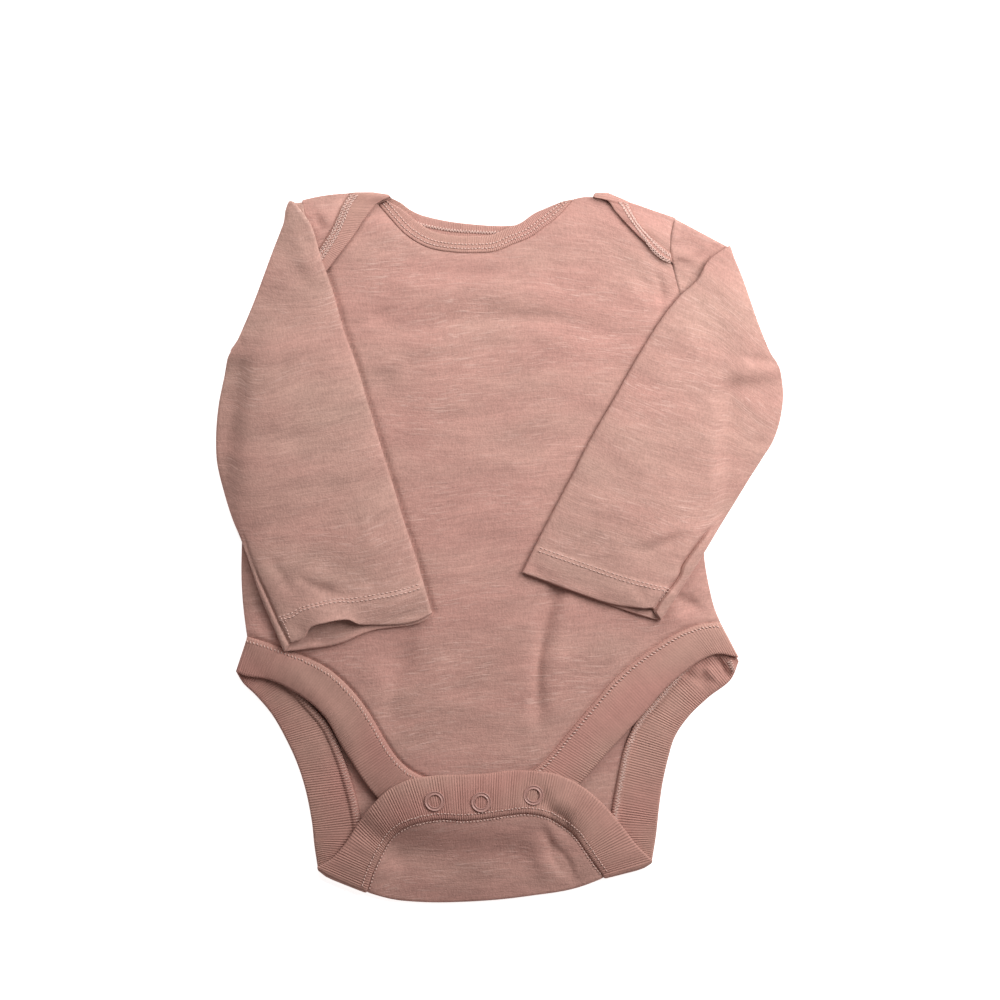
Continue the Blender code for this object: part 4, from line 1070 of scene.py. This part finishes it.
def make_stitches(under_front, under_flaps, sleeves, thread):
    """Every row of stitching that shows. Numbers are a thread's radius, a line's distance from the seam, and
    after a height the length of a stitch with its gap, or the pitch."""
    front = Thread(0.36)
    front.ticks(into_band(FRONT_LEG, 1.6), into_band(FRONT_LEG, 2.8), at_height(RIB, under_front))
    for distance in NECK_SEWING:
        front.row(into_band(FRONT_NECK, distance), at_height(BINDING - 0.15, under_front), 1.3, 0.5)
    for distance, height in zip(FLAP_SEWING, (JERSEY + 0.05, RIB - 0.05)):
        front.row(into_band(FLAP_BAND, distance), at_height(height, under_flaps), 1.1, 0.65, 0.1)
    front.piece("stitches_front", thread)

    loops = Thread(0.28)
    lap_top = at_height(BINDING, under_flaps)
    for table, far in ((LAP_LEFT[:, 2:], 4.6), (LAP_RIGHT[:, 2:], 5.4)):
        for distance in (0.9, far):
            loops.row(into_band(table, distance), lap_top, 1.3, 0.4)
        loops.zigzag(into_band(table, 0.9), into_band(table, 2.8), lap_top, 1.6)
        loops.zigzag(into_band(table, far), into_band(table, far - 1.8), lap_top, 1.6)
    floor_rib = at_height(RIB + 0.85, bunched_tip())
    loops.zigzag(into_band(BACK_LEG_RIGHT, 0.9), into_band(BACK_LEG_RIGHT, 3.6), floor_rib, 1.7)
    width = np.linalg.norm(BACK_NECK[5, 2:] - BACK_NECK[5, :2])
    near, far = into_band(BACK_NECK, width - 5.0), into_band(BACK_NECK, width - 3.2)
    loops.zigzag(near, far, at_height(BINDING + 0.25), 1.5)
    loops.piece("stitches_loops", thread)

    legs = Thread(0.22)
    legs.ticks(into_band(BACK_LEG_LEFT, 0.5), into_band(BACK_LEG_LEFT, 3.4), floor_rib, 1.6)
    legs.zigzag(*SEAM_END, floor_rib, 1.3)
    legs.piece("stitches_inside_legs", thread)

    for s, (_, surface, places, _) in zip(SLEEVES, sleeves):
        hems = Thread(0.3)
        rows, columns = surface.shape[:2]
        length = running(surface[:, columns // 2])[-1]
        for inward in (0.6, 2.4):
            row = np.interp(1 - (HEM_DEPTH - inward) / length, places, np.arange(rows))
            low = int(row)
            line = surface[low] + (row - low) * (surface[low + 1] - surface[low])
            hems.straight(line[4:-4], 0.3, 2.0, 1.6, 2.3)
        from_edge = np.linalg.norm(surface - surface[:, -1:], axis=2)
        from_end = (1 - places) * length
        for inset, lowest in ((TACK_INSET, 1.0), (TACK_INSET + 1.6, 9.5)):
            line = surface[np.arange(rows), np.abs(from_edge - inset).argmin(1)]
            hems.straight(line[(from_end < HEM_DEPTH - 1.0) & (from_end > lowest)], 0.2, 1.2, 1.1, 1.7)
        hems.piece(f"stitches_{s.node}", thread)


# ---------------------------------------- snaps

# A ring's profile over its two lips, as distances from the radius of the hole or of the rim, and heights
RING_HOLE = ((0, 0.05), (-0.05, 0.5), (0.08, 0.76), (0.3, 0.84), (0.52, 0.74), (0.7, 0.56), (1, 0.5))
RING_RIM = ((-0.72, 0.54), (-0.55, 0.74), (-0.32, 0.85), (-0.1, 0.74), (0, 0.45), (-0.05, 0.05), (-0.5, 0))
RING_FOOT = (0.4, 0)


def make_ring(number, base, material):
    """A ring snap: a pressed metal ring with a raised lip outside and another round its hole."""
    low, high = (np.array(end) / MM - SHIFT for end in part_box(f"snap_ring_{number}"))
    x, y = (low[:2] + high[:2]) / 2
    hole, outer = np.array((SNAP_HOLE / 2, 0)), np.array((SNAP_OUTER / 2, 0))
    profile = np.r_[RING_HOLE + hole, RING_RIM + outer, [RING_FOOT + hole]]
    radius, rise = np.r_[profile, profile[:1]].T[..., None]
    turns = np.linspace(0, 2 * math.pi, 65)
    points = lifted(
        np.stack([x + radius * np.cos(turns), y + radius * np.sin(turns)], -1), base + rise + 0 * turns
    )
    rows, columns = points.shape[:2]
    place = numbered(rows, columns)
    place[:, -1] = place[:, 0]
    place[-1] = place[0]
    used, packed = np.unique(quads_of(place).reshape(-1, 4), return_inverse=True)
    uv = quads_of(np.stack(np.meshgrid(turns, np.arange(rows) / rows), -1)).reshape(-1, 4, 2)
    flat = placed(points)[used]
    piece = new_piece(f"ring_{number}", flat, packed.reshape(-1, 4), uv, material)
    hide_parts(f"snap_ring_{number}")


# ---------------------------------------- materials

PINK = (0.463, 0.246, 0.208)
BEIGE = (0.445, 0.278, 0.228)
SLUB = (0.63, 0.41, 0.355)
RIB_PINK = (0.445, 0.224, 0.188)
RIB_BEIGE = (0.430, 0.242, 0.198)
THREAD_PINK = (0.68, 0.465, 0.405)
ENAMEL_PINK = (0.43, 0.228, 0.195)
STEEL = (0.62, 0.62, 0.62)
SHEEN_TINT = (1.0, 0.62, 0.55, 1)


class Nodes:
    """A material's node tree, with short calls for the nodes that cloth needs."""

    def __init__(self, name, roughness, sheen=0.0, metallic=0.0, specular=0.25):
        self.material = bpy.data.materials.new(name)
        self.material.use_nodes = True
        self.tree = self.material.node_tree
        self.shader = self.tree.nodes["Principled BSDF"]
        for socket, value in (
            ("Roughness", roughness), ("Metallic", metallic), ("Sheen Weight", sheen),
            ("Sheen Roughness", 0.6), ("Sheen Tint", SHEEN_TINT), ("Specular IOR Level", specular),
        ):
            self.shader.inputs[socket].default_value = value

    def node(self, kind, inputs=(), **settings):
        """A new node with its settings, and links or values for some of its inputs."""
        node = self.tree.nodes.new(kind)
        for name, value in settings.items():
            setattr(node, name, value)
        for socket, value in inputs:
            self.put(node.inputs[socket], value)
        return node.outputs

    def put(self, socket, value):
        if hasattr(value, "is_linked"):
            self.tree.links.new(value, socket)
        else:
            socket.default_value = value

    def maths(self, operation, a, b=0.0):
        return self.node("ShaderNodeMath", ((0, a), (1, b)), operation=operation)[0]

    def add(self, a, b):
        return self.maths("ADD", a, b)

    def times(self, a, b):
        return self.maths("MULTIPLY", a, b)

    def uv(self):
        split = self.node("ShaderNodeSeparateXYZ", ((0, self.node("ShaderNodeUVMap", uv_map="cloth")[0]),))
        return split[0], split[1]

    def noise(self, uv, length, width, seed, detail=1.0, roughness=0.5):
        """Noise whose spots are length along u and width along v, in metres."""
        spots = [self.maths("DIVIDE", value, size) for value, size in zip(uv, (length, width))]
        join = self.node("ShaderNodeCombineXYZ", ((0, spots[0]), (1, spots[1]), (2, seed * 7.31)))
        settings = (("Scale", 1.0), ("Detail", detail), ("Roughness", roughness), ("Vector", join[0]))
        return self.node("ShaderNodeTexNoise", settings)["Fac"]

    def ranged(self, value, low, high, to_low=0.0, to_high=1.0):
        return self.node("ShaderNodeMapRange", enumerate((value, low, high, to_low, to_high)))[0]

    def mottled(self, tone, *noises):
        """A tone made uneven by noises, each with how far it goes up and down."""
        for value, size in noises:
            tone = self.add(tone, self.ranged(value, 0.25, 0.75, -size, size))
        return tone

    def mixed(self, share, a, b):
        return self.node("ShaderNodeMix", ((0, share), (6, a), (7, b)), data_type="RGBA")[2]

    def scaled(self, colour, factor):
        return self.node("ShaderNodeVectorMath", ((0, colour), (3, factor)), operation="SCALE")[0]

    def bump(self, height, distance, strength):
        settings = (("Strength", strength), ("Distance", distance), ("Height", height))
        self.put(self.shader.inputs["Normal"], self.node("ShaderNodeBump", settings)[0])

    def finish(self, colour):
        self.put(self.shader.inputs["Base Color"], colour)
        return self.material


def shade(rgb, factor=1.0):
    """A colour made lighter or darker."""
    return tuple(min(1.0, c * factor) for c in rgb) + (1.0,)


def jersey_material(name, beige):
    """Slub jersey: feathery streaks of thick and thin yarn along the courses, short pale slubs, and patches
    between pink and beige. beige moves the whole cloth to beige."""
    n = Nodes(name, 0.92, sheen=0.12)
    u, v = n.uv()
    uv = u, n.add(v, n.times(n.noise((u, v), 0.060, 0.045, 1), 0.014))
    patches = n.noise(uv, 0.060, 0.022, 2, 2.0)
    colour = n.mixed(n.ranged(patches, 0.45 - beige, 1.15 - beige), shade(PINK), shade(BEIGE))
    cloudy = n.noise(uv, 0.034, 0.010, 3, 3.0, 0.6)
    feathers = n.noise(uv, 0.013, 0.0024, 11, 2.0)
    yarn = n.noise(uv, 0.009, 0.0010, 4)
    wales = n.noise(uv, 0.0009, 0.0022, 5)
    grain = n.noise(uv, 0.0009, 0.0008, 6)
    tone = n.ranged(cloudy, 0.3, 0.7, 0.88, 1.08)
    tone = n.mottled(tone, (feathers, 0.06), (yarn, 0.055), (wales, 0.075), (grain, 0.085))
    cluster = n.ranged(n.noise(uv, 0.045, 0.025, 12), 0.38, 0.62, 0.25, 1.0)
    long_slub = n.ranged(n.noise(uv, 0.012, 0.0011, 7, 2.0), 0.56, 0.78)
    short_slub = n.ranged(n.noise(uv, 0.006, 0.0009, 8, 2.0), 0.58, 0.78)
    slub = n.times(n.maths("MAXIMUM", long_slub, short_slub), cluster)
    height = n.add(n.times(wales, 0.6), n.times(slub, 0.5))
    for value, size in ((yarn, 0.6), (grain, 0.7)):
        height = n.add(height, n.times(value, size))
    n.bump(height, 0.00025, 0.8)
    return n.finish(n.mixed(n.times(slub, 0.7), n.scaled(colour, tone), shade(SLUB)))


def rib_material(name, pitch, painted_hollow_shade, pink):
    """Fine rib: painted shade in the hollows between its ridges and a faint painted highlight on their
    crests, with small loops along each ridge.
    """
    n = Nodes(name, 0.92, sheen=0.12)
    uv = n.uv()
    wander = n.noise(uv, 0.006, 0.012, 13)
    wave = n.maths("SINE", n.add(n.times(uv[1], 2 * math.pi / (pitch * MM)), n.times(wander, 2.0)))
    ridge = n.ranged(wave, -1.0, 1.0)
    loops = n.noise(uv, 0.0010, 0.0009, 9)
    cloudy = n.noise(uv, 0.014, 0.026, 10, 2.0)
    streaks = n.noise(uv, 0.012, 0.0016, 14)
    # painted shade: the colour darkens towards each hollow between the ridges, and a faint painted highlight
    # lightens the crests
    tone = n.mottled(n.ranged(ridge, 0.0, 1.0, painted_hollow_shade, 1.04), (loops, 0.07), (cloudy, 0.07), (streaks, 0.05))
    n.bump(n.add(n.times(loops, 0.5), ridge), 0.00014, 0.7)
    patches = n.ranged(n.noise(uv, 0.030, 0.060, 15), 0.35, 0.65)
    beige = shade(RIB_BEIGE, pink[0] / RIB_BEIGE[0])
    return n.finish(n.scaled(n.mixed(patches, shade(pink), beige), tone))


def thread_material():
    """Sewing thread with its twist, with painted shade in the twist's grooves and a painted highlight on its
    crests.
    """
    n = Nodes("thread", 0.7, sheen=0.2)
    u, v = n.uv()
    twist = n.maths("SINE", n.times(n.add(u, n.times(v, 4.0)), 2 * math.pi))
    n.bump(twist, 0.00003, 0.6)
    # painted shade in the grooves of the twist, painted highlight on its crests
    return n.finish(n.mixed(n.ranged(twist, -1.0, 1.0), shade(THREAD_PINK, 0.85), shade(THREAD_PINK, 1.05)))


def metal_material(name, colour, roughness, metallic):
    """Pressed metal, coated or bare, with faint scuffs."""
    n = Nodes(name, roughness, metallic=metallic, specular=0.5)
    place = n.node("ShaderNodeTexCoord")["Object"]
    noise = n.node("ShaderNodeTexNoise", (("Scale", 900.0), ("Vector", place)))["Fac"]
    scuff = n.ranged(noise, 0.35, 0.65)
    n.put(n.shader.inputs["Roughness"], n.ranged(scuff, 0.0, 1.0, roughness - 0.06, roughness + 0.1))
    return n.finish(n.mixed(scuff, shade(colour, 0.94), shade(colour, 1.06)))


# ---------------------------------------- floor and lights

PHOTO_PIXEL = 0.52  # millimetres of the garment's plane in a pixel of a 1000 pixel square frame
VIEW_CENTRE = (0.2, 24.9)  # what the middle of the frame looks at
CAMERA_HEIGHT = 1.7
SENSOR = 36.0
FLOOR_GREY = 0.75
FLOOR_GLOW = 0.82  # makes the floor as white as a cut-out
SKY = ((1.0, 0.89, 0.86, 1), 0.20)  # colour, strength
LAMP_COLOUR = (1.0, 1.02, 1.02)
# Name, place, what it shines at, size and power. Places are in metres.
LAMPS = (
    ("key", (0.43, 0.24, 0.42), (0.03, 0.03, 0.0), 0.46, 4.75),
    ("shoulder_light", (-0.12, 0.50, 0.36), (-0.05, 0.10, 0.0), 0.42, 2.0),
)


def add_object(name, data, place):
    obj = bpy.data.objects.new(name, data)
    obj.location = place
    bpy.context.scene.collection.objects.link(obj)
    return obj


def make_stage():
    """A white floor that glows, a pale sky, a soft main light from the upper right and another from above
    the shoulders, and the camera straight above."""
    mesh = bpy.data.meshes.new("floor")
    mesh.from_pydata([(-3, -3, 0), (3, -3, 0), (3, 3, 0), (-3, 3, 0)], [], [(0, 1, 2, 3)])
    floor = add_object("floor", mesh, (0, 0, -0.0002))
    pale = bpy.data.materials.new("pale_floor")
    pale.use_nodes = True
    for socket, value in (
        ("Base Color", (FLOOR_GREY, FLOOR_GREY, FLOOR_GREY, 1)), ("Roughness", 0.9),
        ("Specular IOR Level", 0.1), ("Emission Color", (1, 1, 1, 1)), ("Emission Strength", FLOOR_GLOW),
    ):
        pale.node_tree.nodes["Principled BSDF"].inputs[socket].default_value = value
    mesh.materials.append(pale)

    world = bpy.data.worlds.new("world")
    bpy.context.scene.world = world
    world.use_nodes = True
    for socket, value in zip(("Color", "Strength"), SKY):
        world.node_tree.nodes["Background"].inputs[socket].default_value = value

    for name, place, aim, size, power in LAMPS:
        lamp = bpy.data.lights.new(name, "AREA")
        lamp.size = size
        lamp.energy = power
        lamp.shape = "DISK"
        lamp.color = LAMP_COLOUR
        light = add_object(name, lamp, place)
        light.rotation_mode = "QUATERNION"
        light.rotation_quaternion = Vector(np.array(aim) - np.array(place)).to_track_quat("-Z", "Y")

    camera = bpy.data.cameras.new("camera")
    camera.sensor_width = SENSOR
    camera.lens = SENSOR * CAMERA_HEIGHT / (1000 * PHOTO_PIXEL * MM)
    camera.clip_start = 0.1
    x, y = ((VIEW_CENTRE[k] + SHIFT[k]) * MM for k in (0, 1))
    bpy.context.scene.camera = add_object("camera", camera, (x, y, CAMERA_HEIGHT))
    bpy.context.scene.view_settings.view_transform = "Standard"


# ---------------------------------------- heights of layers


def under_the_front(top, area, pinched):
    """Height of the underside of the front, of its leg band and of its neck binding."""
    rise = loft(area, FRONT_LOFT, FRONT_DOME) + creased(FRONT_CREASES) * loft(area, 1.0, EDGE_CELLS)
    at_legs = puffed(off_lines(map_line(FRONT_LEG)), *LEG_PUFF)
    at_neck = NECK_PUFF[0] * puffed(off_lines(map_line(FRONT_NECK)), *PUFF) + NECK_PUFF[1]
    rise = rise + np.minimum(at_legs, at_neck) + loft(area, EDGE_LOFT, EDGE_CELLS)
    width, depth = SLEEVE_GROOVE
    rise = rise - depth * bell(off_lines(map_line(SLEEVE_LEFT)), width)
    width, share = NECK_FLATTENED
    rise = np.maximum(rise, 0.0) * (1 - share * bell(off_lines(map_line(FRONT_NECK, 1)), width))
    return (draped(top, *FRONT_DRAPE) + rise) * (1 - SHOULDER_PINCH[1] * pinched)


def under_the_flaps(top, area, lap_area, pinched):
    """Height of the underside of the shoulder laps, of the crotch flap and of their bands."""
    on_laps = CELL_Y > LAP_LEVEL
    at_edges = off_lines(*(map_line(table, 2) for table in LAPS))
    at_seams = off_lines(*(map_line(table, 1) for table in LAPS))
    lap_puff = puffed(at_seams, *PUFF) * (1 - 0.9 * bell(at_edges, 5.0))
    flap_puff = FLAP_RISE + puffed(off_lines(map_line(FLAP_BAND)), *FLAP_PUFF)
    rise = loft(area, FLAP_LOFT, FLAP_DOME) + creased(FLAP_CREASES) * loft(area, 1.0, EDGE_CELLS)
    under = np.where(on_laps, draped(top, *LAP_DRAPE), draped(top, *FLAP_DRAPE))
    under = under + np.where(on_laps, lap_puff, flap_puff)
    x, y, width, height = LAP_ROLL
    under = under + np.maximum(rise, 0.0) + height * bell(np.hypot(CELL_X - x, CELL_Y - y), width)
    under = (under + creased(LAP_CREASES) * loft(lap_area, 1.0, 2)) * (1 - SHOULDER_PINCH[2] * pinched)
    for x, y in SNAP_PLACES:
        off = np.hypot(CELL_X - x, CELL_Y - y)
        under = under - SNAP_DIP * bell(off - SNAP_OUTER / 2, 2.0)
    return under


def lay_caps(top):
    """Lays both sleeves' caps on the floor beside the body. Returns the map of their heights."""
    cap_map = np.zeros(CELL_X.shape)
    puckers = creased(CAP_CREASES)
    armholes = [armhole_plan(s.side, np.linspace(0, 1, 60)) for s in SLEEVES]
    for s, armhole in zip(SLEEVES, armholes):
        fold = s.rows[0].reshape(2, 2)
        off, where = off_line(armhole)
        body = np.interp(where, shares(armhole), read(top, armhole - np.sign(armhole[0]) * (1.2, 0.0)))
        height = 2 * JERSEY + LAYER_GAP + s.cap_room * (1 - bell(off, 4.0))
        height = height + np.clip(body - height, 0, 4) * bell(off, 7.0)
        height = height + puckers - 0.5 * s.cap_room * bell(off_lines(fold), 7.0)
        area = inside(np.concatenate([armhole, fold[::-1]]))
        near = blurred(area.astype(float), 1) > 0
        cap_map[near] = height[near]
        top[area] = np.maximum(top, height)[area]
    return cap_map


def room_inside(s):
    """The room between the two layers of a sleeve, as a field of the map."""
    area = inside(np.concatenate([s.rows[:, :2], s.rows[::-1, 2:]]))
    relief = creased(s.creases) * loft(area, 1.0, EDGE_CELLS)
    return np.maximum(LAYER_GAP + loft(area, SLEEVE_LOFT, SLEEVE_DOME) + relief, LAYER_GAP)


# ---------------------------------------- assembly


def area_of(*outlines):
    """Flat area in square metres within closed outlines in plan."""
    total = 0.0
    for x, y in (line.T for line in outlines):
        total += abs(np.dot(x, np.roll(y, -1)) - np.dot(y, np.roll(x, -1))) / 2
    return total * MM * MM


def sheet(piece, node, width, length, held="folded", rests_on=("floor", "cloth_front"), area=None):
    """Hides the part that a piece of cloth replaces. How the cloth was cut, in millimetres, is not used."""
    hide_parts(node)


def bunched_tip():
    """The bunch of seam allowance inside the right leg opening, as a field of the map."""
    return sum(crease(*row) for row in TIP_CREASES)


def make_front(under, front, leg, neck, materials):
    """The front panel with its leg band and its neck binding."""
    full = rounded(front, JERSEY / 2)
    patch = *layer(front, read(under, front), JERSEY, full), courses(front)
    panel = wall("cloth_front", "jersey", materials[0], patch)

    flatter = 0.25 + 0.75 * bell(np.linalg.norm(leg - leg[:, -1:], axis=2), 2.0)
    raised = ribs(leg, RIB_HEIGHT) * flatter + stitched(leg, LEG_SEWING)
    patch = *layer(leg, read(under, leg), RIB, rounded(leg, RIB / 2), raised), band_uv(leg, leg.mean(1))
    band = wall("band_front_leg", "rib", materials[1], patch)

    full, raised = rounded(neck, BINDING / 2), ribs(neck, BINDING_HEIGHT) + stitched(neck, NECK_SEWING)
    patch = *layer(neck, read(under, neck), BINDING, full, raised), band_uv(neck, neck.mean(1))
    return panel, band, wall("binding_front_neck", "rib", materials[2], patch)


def make_back(back, laps, flap, shoulders, under, material):
    """Back panel: the back on the floor, laps over both shoulders and the flap over the crotch."""
    neck = np.zeros(back.shape[1], bool)
    neck[shoulders[0].stop : shoulders[1].start] = True
    full = rounded(back, JERSEY / 2, first=neck, last=False)
    wrong, right = layer(back, np.zeros(back.shape[:2]), JERSEY, full)
    patches = [(right, wrong, courses(back))]
    # each part that turns up starts on a row of the back
    for plan, row, part, outward, way in (
        (laps[0], 0, shoulders[0], LAP_BULGE * UP_THE_NECK, -1),
        (laps[1], 0, shoulders[1], LAP_BULGE * UP_THE_NECK, -1),
        (flap, -1, slice(None), from_roll(flap[0]), 1),
    ):
        upper = layer(plan, read(under, plan), JERSEY, rounded(plan, JERSEY / 2, first=False))
        sides = [
            np.concatenate([low[row, part][None], turn(low[row, part], high[0], outward), high])
            for low, high in zip((right, wrong), upper)
        ]
        patches.append((*sides, folded_uv(sides[0], back[row, part], way)))
    piece = wall("cloth_back", "jersey", material, *patches)
    sheet(piece, "back_panel", 248.0, 430.0, area=area_of(*map(rim, (back, *laps, flap))))


def make_back_band(legs, across, length, under, material):
    """Back leg band: down the left leg, round the fold, over the flap, and back up the right leg."""
    bunched = bunched_tip()

    def on_floor(plan):
        full = rounded(plan, RIB / 2, first=False, last=False)
        swell = ribs(plan, 1.1 * RIB_HEIGHT) + 0.5 * np.sin(np.linspace(0, math.pi, plan.shape[1]))[None]
        swell = swell + stitched(plan, INSIDE_SEWING, INSIDE_DEPTH, ALLOWANCE) + read(bunched, plan)
        # the side that faces up here is the inside
        return layer(plan, np.zeros(plan.shape[:2]), RIB, full, swell)[::-1]

    full = rounded(across, RIB / 2, first=False, last=False)
    raised = ribs(across, RIB_HEIGHT) + stitched(across, FLAP_SEWING[1:], FLAP_DEPTH)
    middle = layer(across, read(under, across), RIB, full, raised)
    left_out, right_out = (
        from_roll(across[k]) * corner(across[k], LEG_CORNER_RADIUS, 1.0, 1.4) for k in (0, -1)
    )
    sides = [
        np.concatenate([a, turn(a[-1], m[0], left_out), m, turn(b[0], m[-1], right_out)[::-1], b])
        for a, m, b in zip(on_floor(legs[0]), middle, on_floor(legs[1][::-1]))
    ]
    piece = wall("band_back_leg", "rib", material, (*sides, band_uv(sides[0])))
    sheet(piece, "back_leg_band", 23.0, length)


def make_back_binding(across, laps, under, material):
    """Back neck binding: up the left lap, over the shoulder, round the neck, and down the right lap."""
    upper = [
        layer(plan, read(under, plan), BINDING, rounded(plan, BINDING / 2, first, not first),
              ribs(plan, BINDING_HEIGHT) + stitched(plan, LAP_SEWING, LAP_DEPTH))
        for plan, first in ((laps[0][::-1], True), (laps[1], False))
    ]
    full = rounded(across, BINDING / 2, first=False, last=False)
    wrong, right = layer(across, np.zeros(across.shape[:2]), BINDING, full, ribs(across, BINDING_HEIGHT))
    left_out, right_out = (
        UP_THE_NECK * corner(across[k], CORNER_RADIUS, LAP_BULGE, free) for k, free in ((0, 0.8), (-1, 1.5))
    )
    sides = [
        np.concatenate([a, turn(m[0], a[-1], left_out)[::-1], m, turn(m[-1], b[0], right_out), b])
        for a, m, b in zip(upper[0], (right, wrong), upper[1])
    ]
    piece = wall("binding_back_neck", "rib", material, (*sides, band_uv(sides[0])))
    length = running(sides[0][:, sides[0].shape[1] // 2])[-1]
    sheet(piece, "back_neck_binding", 13.0, length, area=area_of(*map(rim, (across, *laps))))


def main():
    make_stage()
    jersey = jersey_material("jersey_body", 0.05)
    sleeve_jerseys = jersey_material("jersey_left", 0.25), jersey_material("jersey_right", 0.22)
    # the third number is how dark the painted shade in each rib's hollows is
    rib = rib_material("leg_rib", RIB_PITCH, 0.86, RIB_PINK)
    flat_rib = rib_material("front_leg_rib", RIB_PITCH, 0.95, RIB_PINK)
    binding_rib = rib_material("neck_rib", BINDING_PITCH, 0.90, PINK)
    thread = thread_material()
    enamel = metal_material("enamel", ENAMEL_PINK, 0.38, 0.0)
    steel = metal_material("steel", STEEL, 0.35, 1.0)

    front = front_plan()
    columns, left_count, right_count = back_columns()
    back = back_plan(columns)
    shoulders = (slice(None, left_count), slice(-right_count, None))
    laps = [lap_plan(t, back[0][part], t is LAP_LEFT) for t, part in zip(LAPS, shoulders)]
    flap = flap_plan(columns)
    legs = [
        band_sections(table, RIB_PITCH) for table in (FRONT_LEG, BACK_LEG_LEFT, BACK_LEG_RIGHT, FLAP_BAND)
    ]
    front_leg, *back_legs, flap_band = map(leg_strip, legs)
    front_neck, back_neck, *lap_bindings = (
        neck_strip(band_sections(table, BINDING_PITCH))
        for table in (FRONT_NECK, BACK_NECK, *(lap[:, 2:] for lap in LAPS))
    )

    top = np.zeros(CELL_X.shape)
    lay(top, rim(back), 0.0, JERSEY)
    lay(top, rim(back_neck), 0.0, BINDING)
    for leg in back_legs:
        lay(top, rim(leg), 0.0, RIB)

    folds = map_line(BACK_SHOULDER_LEFT), map_line(BACK_SHOULDER_RIGHT)
    pinched = bell(off_lines(*folds), SHOULDER_PINCH[0])
    under_front = under_the_front(top, covered((front, front_leg, front_neck)), pinched)
    front_pieces = make_front(under_front, front, front_leg, front_neck, (jersey, flat_rib, binding_rib))
    for plan, thickness in ((front, JERSEY), (front_leg, RIB), (front_neck, BINDING)):
        lay(top, rim(plan), under_front, thickness)
    angles = np.linspace(0, 2 * math.pi, 24, endpoint=False)
    circle = np.stack([np.cos(angles), np.sin(angles)], 1)
    for place in SNAP_PLACES:
        around = np.array(place) + STUD_WIDTH / 2 * circle
        lay(top, around, read(under_front, around).max() + RIB + 0.05, STUD_HEIGHT)

    under_flaps = under_the_flaps(top, covered((flap, flap_band)), covered(laps), pinched)
    make_back(back, laps, flap, shoulders, under_flaps, jersey)
    make_back_band(back_legs, flap_band, sum(map(middle_length, legs[1:])), under_flaps, rib)
    make_back_binding(back_neck, lap_bindings, under_flaps, binding_rib)
    for plans, thickness in (((flap, *laps), JERSEY), ((flap_band,), RIB), (lap_bindings, BINDING)):
        for plan in plans:
            lay(top, rim(plan), under_flaps, thickness)
    for number, place in enumerate(SNAP_PLACES, 1):
        around = np.array(place) + 0.4 * SNAP_OUTER * circle
        make_ring(number, read(under_flaps, around).mean() + RIB, enamel)
        bpy.data.objects[f"snap_stud_{number}"].material_slots[0].material = steel

    cap_map = lay_caps(top)
    under_sleeves = draped(top, *FRONT_DRAPE)
    sleeves = [
        make_sleeve(s, under_sleeves, room_inside(s), cap_map, material)
        for s, material in zip(SLEEVES, sleeve_jerseys)
    ]
    make_stitches(under_front, under_flaps, sleeves, thread)

    panel, *bands = front_pieces
    sheet(panel, "front_panel", 246.0, 305.0, "laid", ["cloth_back"], area_of(rim(front)))
    for piece, node, table, width in zip(
        bands, ("front_leg_band", "front_neck_binding"), (FRONT_LEG, FRONT_NECK), (22.5, 10.0)
    ):
        dense = fine(table)
        outline = np.concatenate([dense[:, :2], dense[::-1, 2:]])
        sheet(piece, node, width, middle_length(dense), "laid", ["cloth_back"], area_of(outline))
    for s, (piece, _, _, flat) in zip(SLEEVES, sleeves):
        sheet(piece, s.node, *flat)


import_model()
first_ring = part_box("snap_ring_1")
ring_centre = [(first_ring[0][k] + first_ring[1][k]) / 2 / MM for k in (0, 1)]
SHIFT = np.array((ring_centre[0] - SNAP_PLACES[0][0], ring_centre[1] - SNAP_PLACES[0][1], 0.0))
main()
